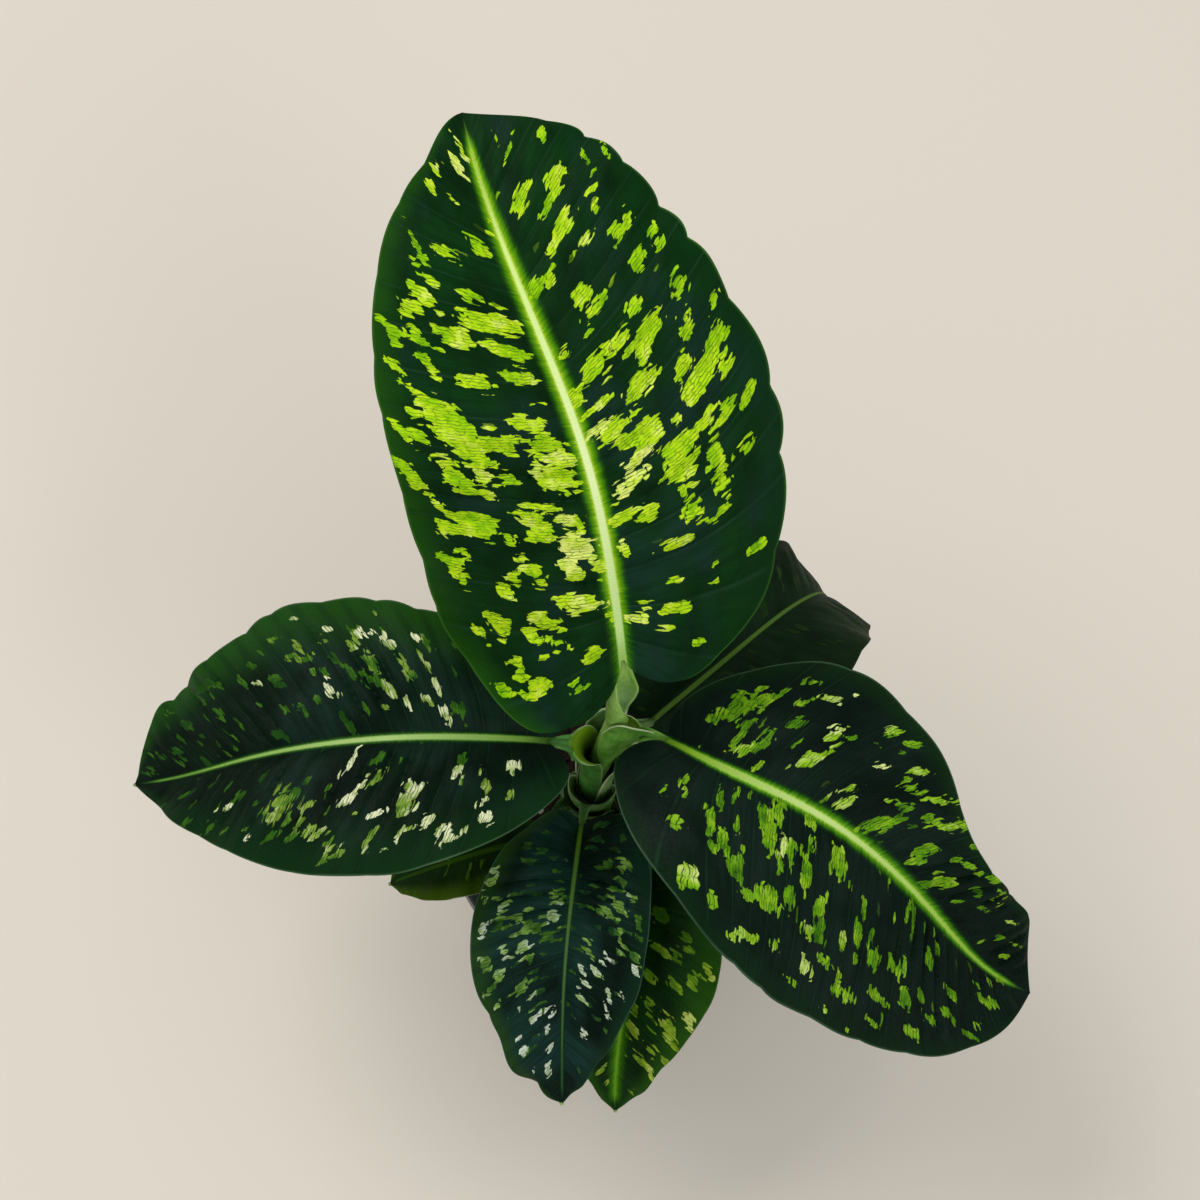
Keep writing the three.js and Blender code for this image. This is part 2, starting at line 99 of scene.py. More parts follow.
# The last nodes of a material. Bump is the node that gives the height, and the height's size in metres.
def finishMaterial(material, settings, bump=None):
    if bump:
        height, distance = bump
        relief = addNode(material, "Bump", {"Strength": 1.0, "Distance": distance, "Height": height})
        settings = {**settings, "Normal": relief}
    surface = addNode(material, "BsdfPrincipled", settings)
    addNode(material, "OutputMaterial", {"Surface": surface})
    return material


def deselectAll():
    if bpy.context.object and bpy.context.object.mode != "OBJECT":
        bpy.ops.object.mode_set(mode="OBJECT")
    bpy.ops.object.select_all(action="DESELECT")


def onlySelect(piece):
    deselectAll()
    piece.select_set(True)
    bpy.context.view_layer.objects.active = piece


def applyModifiers(piece):
    onlySelect(piece)
    for modifier in list(piece.modifiers):
        bpy.ops.object.modifier_apply(modifier=modifier.name)


def readPoints(piece):
    points = np.empty(len(piece.data.vertices) * 3)
    piece.data.vertices.foreach_get("co", points)
    return points.reshape(-1, 3)


def placePoints(piece, points):
    piece.data.vertices.foreach_set("co", np.asarray(points, float).ravel())
    piece.data.update()


def readNormals(piece):
    normals = np.empty(len(piece.data.vertices) * 3)
    piece.data.vertex_normals.foreach_get("vector", normals)
    return normals.reshape(-1, 3)


def writeAttribute(piece, name, *columns):
    layer = piece.data.attributes.new(name, "FLOAT_VECTOR", "POINT")
    layer.data.foreach_set("vector", np.stack(columns, axis=1).ravel())


def makeStudio():
    elevation = math.radians(view["elevation"])
    away = Vector((0, -math.cos(elevation), math.sin(elevation)))
    lens = bpy.data.cameras.new("lens")
    lens.lens = view["focal"]
    lens.sensor_width = 36
    lens.clip_end = 50
    camera = bpy.data.objects.new("camera", lens)
    bpy.context.scene.collection.objects.link(camera)
    camera.location = (Vector(view["aim"]) + away * view["distance"]) / 1000
    camera.rotation_euler = (-away).to_track_quat("-Z", "Y").to_euler()
    bpy.context.scene.camera = camera

    deselectAll()
    bpy.ops.mesh.primitive_plane_add(size=studio["floorSize"] / 1000, location=(0, 0, 0))
    floor = bpy.context.active_object
    floor.name = "floor"
    # matte painted board: pale, no gloss, so that only soft shadows show on it
    board = newMaterial("painted_board")
    finishMaterial(board, {"Base Color": studio["floor"], "Roughness": 0.9, "Specular IOR Level": 0.1})
    floor.data.materials.append(board)

    for name in ("key", "fill"):
        lamp = studio[name]
        light = bpy.data.lights.new(name, "AREA")
        light.shape = "DISK"
        light.size = lamp["size"] / 1000
        light.energy = lamp["watts"]
        light.color = linearColour(lamp["colour"])[:3]
        source = bpy.data.objects.new(name, light)
        bpy.context.scene.collection.objects.link(source)
        source.location = Vector(lamp["at"]) / 1000
        source.rotation_euler = (Vector((0, 0, 0.25)) - source.location).to_track_quat("-Z", "Y").to_euler()

    world = bpy.data.worlds.new("studio")
    world.use_nodes = True
    background = world.node_tree.nodes["Background"]
    background.inputs["Color"].default_value = linearColour(studio["ambient"][0])
    background.inputs["Strength"].default_value = studio["ambient"][1]
    bpy.context.scene.world = world
    bpy.context.scene.view_settings.view_transform = "Standard"
    print("studio ready")


makeStudio()

# Lift beside the midrib and slope at the margin, of a half that stands up from it and of a flatter one
raised = {"lift": (22, 20, 16), "margin": (-26, -24, -24)}
flatter = {"lift": (20, 14, 6), "margin": (-20, -16, -10)}

# The leaves, youngest first. All lists run from the base of the blade to its tip.
#   base, length, azimuth, slope   where the midrib starts, how long it is, its heading and its rise
#   left, right       half widths, lobe behind the base, depth, number and start of the margin's notches
#                     (scallop), and how much wider and how far along the tip is rounded off (blunt)
#   forward, wave, rib   sweep of the rows, height, number and start of waves, midrib half width and depth
#   sheath            foot and rim on the stem, keel's azimuth, lean, flare, bulge and dip of the rim, wrap at
#                     foot and rim, and the share of it that is left of the near side (near)
#   wing              near side of a sheath that is drawn up high: where it starts and ends round the stem,
#                     its foot, its radius on the way up, height and radius of its rim on the way round
#   stalk, underFace  radius of the free stalk, and how far under the blade it ends
#   groove, openWrap, spread   depth and half width of its groove, how far it wraps, how far it is unrolled
#   slant, veinStep   angle of the side veins to the midrib's normal, and distance between them
#   quilt, crumple    height of the cushions between side veins, and of the uneven swell over them
leaves = {
    "newest": {
        "base": (12, 21, 318), "length": 253,
        "azimuth": (98, 104, 114, 112, 102), "slope": (48, 42, 32, 22, 12, 4),
        "left": {"widths": (48, 76, 79, 79, 74, 61, 43, 18), "lobe": 33,
                 "lift": (4, 14, 10), "margin": (-40, -14, -14), "scallop": (0.9, 10, 0.3), "blunt": (4, 1)},
        "right": {"widths": (32, 71, 85, 88, 80, 70, 60, 42), "lobe": 14,
                  "lift": (8, 14, 10), "margin": (-30, -14, -14), "scallop": (2.8, 10.5, 0.4)},
        "forward": 40, "wave": (2, 5, 0.1), "rib": (3.4, 4.4),
        "sheath": {"foot": 188, "rim": 262, "keel": 182, "lean": (0, 0), "flare": 1, "bulge": 0,
                   "dip": 0, "wrap": (122, 158)},
        "stalk": (5.6, 5.8, 3.2), "groove": (0.72, 0.8), "underFace": 3.8, "openWrap": (158, 96),
        "spread": 2.4,
        "slant": (-48, -6, 8, 12, 16, 22, 32, 44, 54, 62), "veinStep": 13,
        "quilt": (3.4, 2.7, 1.9, 1.4, 0.9), "crumple": 1.6,
    },
    "right": {
        "base": (33, 3, 258), "length": 224,
        "azimuth": (326, 334, 324, 322, 347), "slope": (18, 2, -14, -32, -42, -30),
        "left": {"widths": (16, 54, 68, 60, 40, 33, 34, 29), "lobe": 3, "scallop": (0.9, 8, 0.2), **raised},
        "right": {"widths": (26, 55, 75, 81, 77, 68, 53, 32), "lobe": 13, "scallop": (0.9, 9, 0.4), **raised},
        "forward": 28, "wave": (2, 5, 0), "rib": (3.4, 4),
        "sheath": {"foot": 176, "rim": 250, "keel": 344, "lean": (3.6, -1.6), "flare": 3.4, "bulge": 1.5,
                   "dip": 4, "wrap": (140, 104), "near": 0.1},
        "wing": {"from": (275, 262, 232, 215), "to": 350, "foot": 206, "radius": (6.4, 7.2, 8.2, 8.2),
                 "top": (254, 266, 273, 275.5, 273, 267, 252), "rim": (7, 7, 7, 7.4, 9, 13, 19)},
        "stalk": (4.2, 2.8, 2.0),
        "slant": (-40, 6, 14, 18, 22, 28, 32, 36, 40, 46), "veinStep": 9,
        "quilt": (0.6, 1.2, 2.0, 3.4, 2.8), "crumple": 2.0,
    },
    "left": {
        "base": (-22, 5, 250), "length": 215,
        "azimuth": (183, 182, 183, 184, 176), "slope": (22, 10, -8, -24, -36, -30),
        "left": {"widths": (22, 48, 62, 64, 57, 43, 28, 13), "lobe": 7, "scallop": (0.4, 8, 0.2), **raised},
        "right": {"widths": (26, 50, 61, 70, 68, 57, 45, 32), "lobe": 12, "scallop": (1.4, 12, 0.0),
        "blunt": (6, 0.98), **raised},
        "forward": 28, "wave": (2, 5, 0.3), "rib": (3.4, 4),
        "sheath": {"foot": 167, "rim": 243, "keel": 186, "lean": (-7.6, -4.8), "flare": 3, "bulge": 2,
                   "dip": 4, "wrap": (122, 88)},
        "stalk": (4.4, 3.2, 2.0),
        "slant": (-40, 4, 12, 18, 22, 28, 34, 42, 50, 56), "veinStep": 9,
        "quilt": (0.9, 1.9, 2.2, 1.8, 1.2), "crumple": 2.2,
    },
    "back": {
        "base": (28, 23, 227), "length": 168,
        "azimuth": (34, 40, 42, 44), "slope": (28, 14, -2, -42, -80, -87),
        "left": {"widths": (16, 38, 47, 46, 38, 29, 21, 11), "lobe": 8, "scallop": (0.5, 7, 0.1), **flatter},
        "right": {"widths": (16, 38, 47, 46, 38, 31, 22, 12), "lobe": 8, "scallop": (0.8, 7, 0.5), **flatter},
        "forward": 20, "wave": (2, 5, 0.2), "rib": (3, 3.4),
        "sheath": {"foot": 158, "rim": 220, "keel": 40, "lean": (2.3, 1.9), "flare": 3, "bulge": 1.5,
                   "dip": 2, "wrap": (140, 100)},
        "wing": {"from": (166, 166, 166, 160), "to": 55, "foot": 186, "radius": (8.8, 9.2, 9.8, 10.5),
                 "top": (229, 237, 241, 240, 232), "rim": (11, 12, 12, 12, 11)},
        "stalk": (3.8, 2.6, 2.1),
        "slant": (-40, 6, 14, 20, 24, 30, 36, 44, 52), "veinStep": 8,
        "quilt": (0.4, 0.6, 0.8, 0.8, 0.5), "crumple": 1.4,
    },
    "front": {
        "base": (-7, -21, 196), "length": 143,
        "azimuth": (263, 264, 268, 271), "slope": (16, 4, -12, -30, -44, -52),
        "left": {"widths": (20, 35, 38, 38, 34, 25, 17, 8), "lobe": 6, "scallop": (0.5, 5, 0.3), **raised},
        "right": {"widths": (14, 35, 44, 45, 42, 31, 24, 13), "lobe": 6,
        "scallop": (3.8, 2.4, 1.81), **raised},
        "forward": 18, "wave": (2, 5, 0), "rib": (2.6, 3),
        "sheath": {"foot": 149, "rim": 186, "keel": 255, "lean": (-0.8, -2.9), "flare": 2, "bulge": 1.5,
                   "dip": 2, "wrap": (140, 96)},
        "stalk": (3.6, 2.2, 1.7),
        "slant": (-40, 0, 8, 16, 24, 30, 38, 46, 54), "veinStep": 7,
        "quilt": (2.4, 2.2, 1.7, 1.1, 0.5), "crumple": 2.0,
    },
    "lowLeft": {
        "base": (-33, -25, 184), "length": 74,
        "azimuth": (196, 194, 191), "slope": (8, -6, -24, -40),
        "left": {"widths": (9, 17, 20, 20, 18, 15, 10, 6), "lobe": 5, "scallop": (0.3, 6, 0.2), **flatter},
        "right": {"widths": (9, 20, 25, 25, 22, 17, 11, 6), "lobe": 5, "scallop": (0.3, 6, 0.5), **flatter},
        "forward": 12, "wave": (1.5, 5, 0.2), "rib": (2.6, 3),
        "sheath": {"foot": 140, "rim": 168, "keel": 215, "lean": (-1.6, -1.1), "flare": 2, "bulge": 1.5,
                   "dip": 1, "wrap": (140, 90)},
        "stalk": (3.6, 2.8, 2.2),
        "slant": (-40, 4, 12, 20, 26, 32, 40, 48), "veinStep": 7,
        "quilt": (0.4, 0.5, 0.4, 0.2), "crumple": 0.8,
    },
    "lowFront": {
        "base": (26, -36, 174), "length": 126,
        "azimuth": (262, 258, 262, 270), "slope": (10, 0, -20, -40, -46),
        "left": {"widths": (12, 31, 41, 42, 36, 27, 19, 11), "lobe": 6, "scallop": (0.3, 6, 0.2), **raised},
        "right": {"widths": (12, 30, 38, 38, 34, 26, 17, 8), "lobe": 6, "scallop": (0.3, 6, 0.5), **raised},
        "forward": 14, "wave": (2, 5, 0.2), "rib": (2.6, 3),
        "sheath": {"foot": 131, "rim": 158, "keel": 300, "lean": (1, -1.7), "flare": 2, "bulge": 1.5,
                   "dip": 1, "wrap": (140, 90)},
        "stalk": (3.6, 2.8, 2.2),
        "slant": (-40, 4, 14, 24, 32, 38, 44, 50), "veinStep": 7,
        "quilt": (0.5, 0.7, 0.6, 0.4), "crumple": 0.9,
    },
}

walkSteps = 384
notchGap = 0.5                     # how far the lobes stay clear of the stalk
foldReach = 80                     # distance over which a half bends from its lift to its margin slope
up = np.array([0.0, 0.0, 1.0])


def mix(a, b, f):
    return a + (b - a) * f


def smooth(f):
    f = np.clip(f, 0, 1)
    return f * f * (3 - 2 * f)


def unit(vectors):
    return vectors / np.linalg.norm(vectors, axis=-1, keepdims=True)


def spline(values, at):
    values = np.asarray(values, float)
    padded = np.concatenate([[2 * values[0] - values[1]], values, [2 * values[-1] - values[-2]]])
    last = len(values) - 1
    place = np.clip(at, 0, 1) * last
    i = np.minimum(np.floor(place).astype(int), last - 1)
    f = place - i
    a, b, c, d = (padded[i + k] for k in range(4))
    return b + 0.5 * f * (c - a + f * (2 * a - 5 * b + 4 * c - d + f * (3 * (b - c) + d - a)))


def heading(azimuth, slope=0.0):
    azimuth, slope = np.radians(azimuth), np.radians(slope)
    return np.stack([np.cos(azimuth) * np.cos(slope), np.sin(azimuth) * np.cos(slope),
                     np.sin(slope) + 0 * azimuth], axis=-1)


def walkMidrib(leaf):
    at = np.linspace(0, 1, walkSteps + 1)
    directions = heading(spline(leaf["azimuth"], at), spline(leaf["slope"], at))
    steps = unit(directions[:-1] + directions[1:]) * leaf["length"] / walkSteps
    points = np.vstack([np.zeros(3), np.cumsum(steps, axis=0)]) + np.array(leaf["base"])
    return points, directions


def midribFrame(leaf, along):
    points, directions = leaf["walk"]
    along = np.asarray(along, float)
    inside = np.clip(along / leaf["length"], 0, 1)
    place = inside * walkSteps
    i = np.minimum(np.floor(place).astype(int), walkSteps - 1)
    f = (place - i)[..., None]
    ahead = unit(mix(directions[i], directions[i + 1], f))
    beyond = (along - inside * leaf["length"])[..., None]
    point = mix(points[i], points[i + 1], f) + ahead * beyond
    left = unit(np.cross(up, ahead))
    return point, ahead, left, np.cross(ahead, left)


# Point of the blade's upper face: along the midrib, across it with left positive, and lifted off it.
def bladePoint(leaf, along, across, lift):
    point, ahead, left, face = midribFrame(leaf, along)
    at = along / leaf["length"]
    near, far = (np.where(across < 0, spline(leaf["right"][k], at), spline(leaf["left"][k], at))
                 for k in ("lift", "margin"))
    reach = np.abs(across)
    angle = np.radians(near + (far - near) * reach / foldReach / 2)
    return (point + left * (across * np.cos(angle))[:, None]
            + face * (reach * np.sin(angle) + lift)[:, None])


def bothSides(leaf, side, read):
    return np.where(side < 0, read(leaf["right"]), read(leaf["left"]))


# Outline of a blade. Shares of the blade's length unless a line says otherwise.
outline = {
    "corner": {"run": 0.05, "narrower": 0.2, "fade": 0.04},    # how the corner of a lobe is rounded
    "ribStart": 0.04,              # the midrib is narrow where the stalk runs into it
    "ribEnd": 0.5,                 # its half width at the tip, in millimetres
    "lobed": 4,                    # how fast the round rows of the base turn into the slanting ones: a power
    "uneven": (0.18, 2.1),         # how far and how often the notches stray from even steps
    "bulge": 0.8,                  # roundness of the margin between them: a power
    "notched": (0.12, 0.2),        # they begin and end this far from base and tip
    "blunt": (0.17, 0.12, 0.045),  # where before its end a blunt tip widens, over what run, and its round end
}


# Along, across and lift of a grid place: row 0 to 1 along the midrib, reach 0 to 1 across a half.
def bladePlace(leaf, side, row, reach):
    corner = outline["corner"]
    ribHalf = mix(leaf["rib"][0], outline["ribEnd"], row) * mix(0.25, 1, smooth(row / outline["ribStart"]))
    width = bothSides(leaf, side, lambda half: spline((*half["widths"], 0), row))
    width = width * (1 - corner["narrower"] * np.exp(-row / corner["fade"]))
    lobe = bothSides(leaf, side, lambda half: half["lobe"])
    lobed = (1 - row) ** outline["lobed"]
    turn = reach * math.pi / 2
    late = row - row * np.exp(-row / corner["run"]) * reach ** 4
    shift = leaf["forward"] * np.sin(math.pi * row) * np.sqrt(row) - lobe * (1 - late) ** 3
    spread = lobed * (1 - np.cos(turn)) + (1 - lobed) * reach
    run = lobed * np.sin(turn) + (1 - lobed) * reach ** 1.5
    inside = ribHalf + lobed * (notchGap + 0.75 * leaf["rib"][0]) * np.sin(turn)
    height, count, start = leaf["wave"]
    phase = 2 * math.pi * (count * row + start + np.where(side > 0, 0, 0.5))
    ending = np.minimum(1, 6 * (1 - row))
    along = leaf["length"] * late + shift * run
    across = inside + (width - inside) * spread
    lift = height * np.sin(phase) * reach ** 2 * ending

    # notches in the margin, each a short sharp step between two long bulges
    depth, number, first = (bothSides(leaf, side, lambda half: half["scallop"][k]) for k in range(3))
    turns = number * row + first
    turns = turns + outline["uneven"][0] * np.sin(outline["uneven"][1] * turns + side)
    bulge = np.abs(np.sin(math.pi * turns)) ** outline["bulge"]
    fade = smooth(row / outline["notched"][0]) * smooth((1 - row) / outline["notched"][1])
    across = across - depth * (1 - bulge) * reach ** 7 * fade
    lift = lift + 0.5 * depth * (bulge - 0.6) * reach ** 4 * fade

    # a blunt tip keeps its width to the last and closes in a round end
    wider, end = (bothSides(leaf, side, lambda half: half.get("blunt", (0, 1))[k]) for k in (0, 1))
    widens, over, closes = outline["blunt"]
    closed = np.sqrt(np.clip(1 - (np.maximum(row - end + closes, 0) / closes) ** 2, 0, 1))
    across = across + wider * smooth((row - end + widens) / over) * closed * reach
    return along, side * across, lift, ribHalf


veinBend = 0.22 / 80               # the side veins sweep forward, by this times their reach squared
veinHalvings = 36                  # enough to find a vein's foot to a millionth of a millimetre


# Where on the midrib a place's side vein starts, and how far out along that vein it lies. The foot is known
# to be between two places on the midrib, and the stretch between them is halved over and over.
def veinPlace(leaf, along, across):
    reach = np.abs(across)
    bend = veinBend * reach ** 2
    low, high = along - 5 * reach - 30, along + 5 * reach + 30
    for step in range(veinHalvings):
        middle = (low + high) / 2
        slant = np.tan(np.radians(spline(leaf["slant"], middle / leaf["length"])))
        past = middle + reach * slant + bend > along
        high = np.where(past, middle, high)
        low = np.where(past, low, middle)
    return low, reach * np.sqrt(1 + slant ** 2)


# Colours and patterns of each leaf. Lists of widths and of the field run from the base to the tip.
#   dark, deep, mist, vein   the two greens of the ground (dark is also painted shade in the creases), a painted sheen on it and the pale side veins
#   margins, band, rim       greens of the left and right margins, where they set in, and the edge itself, whose colour also paints a line of rim light on the upper face
#   patch, line, lines       the pale spots from dim to pale, and the colour and strength of hairlines on them
#   rib, ribHalf             colours and half widths of the bright midrib
#   glow, glowWidth          the brightness that it bleeds into the blade, and how far
#   field, dull, grow        how readily small spots turn up, their tone, and the scale of the placed blotches
#   gloss                    roughness of the wax, give or take
looks = {
    "newest": {
        "dark": "#022206", "mist": "#16302c", "deep": "#08350f", "margins": ("#1c4c08", "#07300d"),
        "band": 0.8, "vein": "#224630",
        "patch": ("#4f8c04", "#94cc06", "#c0e41c", "#e6f07c"), "line": "#24660a", "lines": 0.9,
        "rib": ("#92bc5c", "#bcdc88", "#e4f6b0", "#d2ee8c", "#6c9a24"),
        "ribHalf": (1.9, 1.9, 1.8, 1.7, 1.5, 1.1, 0.6, 0.3),
        "glow": ("#2c6404", "#4c8806", "#78aa10", "#a8cc34"),
        "glowWidth": (6, 6, 6, 6.5, 6.5, 6.5, 6, 4.5, 2), "rim": "#3f6f22",
        "field": {"left": (-0.8, -0.58, -0.55, -0.52, -0.52, -0.52, -0.55, -0.7),
                  "right": (-0.9, -0.66, -0.58, -0.52, -0.52, -0.54, -0.58, -0.7)},
        "dull": 0.5, "grow": 1.0,
        "gloss": 0.44,
    },
    "right": {
        "dark": "#03110a", "mist": "#14261f", "deep": "#081d12", "margins": ("#0e2c0c", "#0a260e"),
        "band": 0.8, "vein": "#163c22",
        "patch": ("#2c5a08", "#5f960c", "#8ebb20", "#d2e08a"), "line": "#123a0c", "lines": 0.95,
        "rib": ("#5f8c1c", "#84b028", "#c0d884", "#9cc04c", "#4c752a"),
        "ribHalf": (1.3, 1.6, 1.6, 1.3, 1.0, 0.7, 0.4, 0.3),
        "glow": ("#184606", "#38720a", "#5f9616", "#90be40"), "glowWidth": (2, 3, 5, 6, 6, 5, 3, 2),
        "rim": "#48684a",
        "field": {"left": (-0.8, -0.56, -0.52, -0.5, -0.52, -0.55, -0.6, -0.8),
                  "right": (-0.9, -0.6, -0.54, -0.52, -0.5, -0.5, -0.56, -0.8)},
        "dull": 0.4, "grow": 1.0,
        "gloss": 0.42,
    },
    "left": {
        "dark": "#021007", "mist": "#183026", "deep": "#051c0d", "margins": ("#0c3010", "#1c4c0c"),
        "band": 0.5, "vein": "#143c20",
        "patch": ("#1a440a", "#3c6c14", "#82a03c", "#e4eabc"), "line": "#12350d", "lines": 0.95,
        "rib": ("#34561a", "#6b9238", "#a8c678", "#84aa4c", "#3f6a20"),
        "ribHalf": (1.6, 1.5, 1.4, 1.2, 0.9, 0.6, 0.4, 0.3),
        "glow": ("#0c2c08", "#1c4410", "#336018", "#568434"),
        "glowWidth": (1.5, 2, 2.5, 2.5, 2, 2, 1.5, 1), "rim": "#4c6c48",
        "field": {"left": (-0.8, -0.58, -0.55, -0.52, -0.5, -0.48, -0.44, -0.6),
                  "right": (-0.8, -0.6, -0.54, -0.5, -0.46, -0.42, -0.4, -0.5)},
        "dull": 0.25, "grow": 0.88,
        "gloss": 0.42,
    },
    "back": {
        "dark": "#0a1e0c", "mist": "#1a2c1c", "deep": "#143018", "margins": ("#13220d", "#15280e"),
        "band": 0.6, "vein": "#22301b",
        "patch": ("#122610", "#1b3212", "#223e16", "#2e4c1a"), "line": "#0c180a", "lines": 0.3,
        "rib": ("#5c7c30", "#597b30", "#587c32", "#4c6c2a", "#40602a"),
        "ribHalf": (1.4, 1.3, 1.1, 0.9, 0.7, 0.4, 0.3),
        "glow": ("#101f0c", "#162a10", "#1f3814", "#2c481c"), "glowWidth": (1, 1, 1, 1, 1), "rim": "#40553a",
        "field": {"left": (-0.4, -0.36, -0.32, -0.3, -0.3), "right": (-0.4, -0.36, -0.32, -0.3, -0.3)},
        "dull": 0.5, "grow": 1.0,
        "gloss": 0.52,
    },
    "front": {
        "dark": "#02120b", "mist": "#1c4038", "deep": "#061e13", "margins": ("#0e2c18", "#24420f"),
        "band": 0.7, "vein": "#1c4030",
        "patch": ("#16381a", "#3a6416", "#7ca048", "#c8d4bc"), "line": "#12351c", "lines": 0.85,
        "rib": ("#44690e", "#4c7016", "#4d7038", "#3f6232", "#2a4a2c"),
        "ribHalf": (1.2, 1.1, 0.9, 0.7, 0.5, 0.4, 0.3),
        "glow": ("#082010", "#0c2a14", "#14341a", "#1c4020"), "glowWidth": (1, 1, 1, 1, 1, 1),
        "rim": "#46665a",
        "field": {"left": (-0.36, -0.24, -0.28, -0.42, -0.6, -0.8),
        "right": (-0.38, -0.22, -0.2, -0.32, -0.5, -0.7)},
        "dull": 0.2, "grow": 0.84,
        "gloss": 0.46,
    },
    "lowLeft": {
        "dark": "#0b2003", "mist": "#1a3214", "deep": "#15340c", "margins": ("#4a660c", "#3f5c0e"),
        "band": 0.4, "vein": "#2a4a1a",
        "patch": ("#1f3a0a", "#3f640f", "#5d8016", "#7c9a2a"), "line": "#1a3508", "lines": 0.6,
        "rib": ("#33500e", "#33500e", "#33500e", "#2f4a0e", "#2c4610"), "ribHalf": (0.8, 0.8, 0.7, 0.5, 0.3),
        "glow": ("#1a3808", "#1f3f08", "#26480a", "#2c520c"), "glowWidth": (1.5, 1.5, 1, 1), "rim": "#5a7034",
        "field": {"left": (-0.5, -0.3, -0.3, -0.5), "right": (-0.5, -0.3, -0.3, -0.5)},
        "dull": 0.4, "grow": 1.0,
        "gloss": 0.48,
    },
    "lowFront": {
        "dark": "#031a03", "mist": "#123014", "deep": "#0c3006", "margins": ("#224c0a", "#24500a"),
        "band": 0.5, "vein": "#24520e",
        "patch": ("#355c0a", "#577f12", "#84a028", "#b0c060"), "line": "#1d4406", "lines": 0.7,
        "rib": ("#4f7d10", "#5a8614", "#6b9a1e", "#73a026", "#5c8a1c"),
        "ribHalf": (1.2, 1.1, 1.0, 0.8, 0.6, 0.4, 0.3),
        "glow": ("#143c04", "#255406", "#3a700a", "#578e14"), "glowWidth": (2, 3, 5, 7, 7, 5),
        "rim": "#5a7a34",
        "field": {"left": (-0.5, -0.42, -0.42, -0.46, -0.6), "right": (-0.5, -0.42, -0.42, -0.46, -0.6)},
        "dull": 0.35, "grow": 0.84,
        "gloss": 0.46,
    },
}
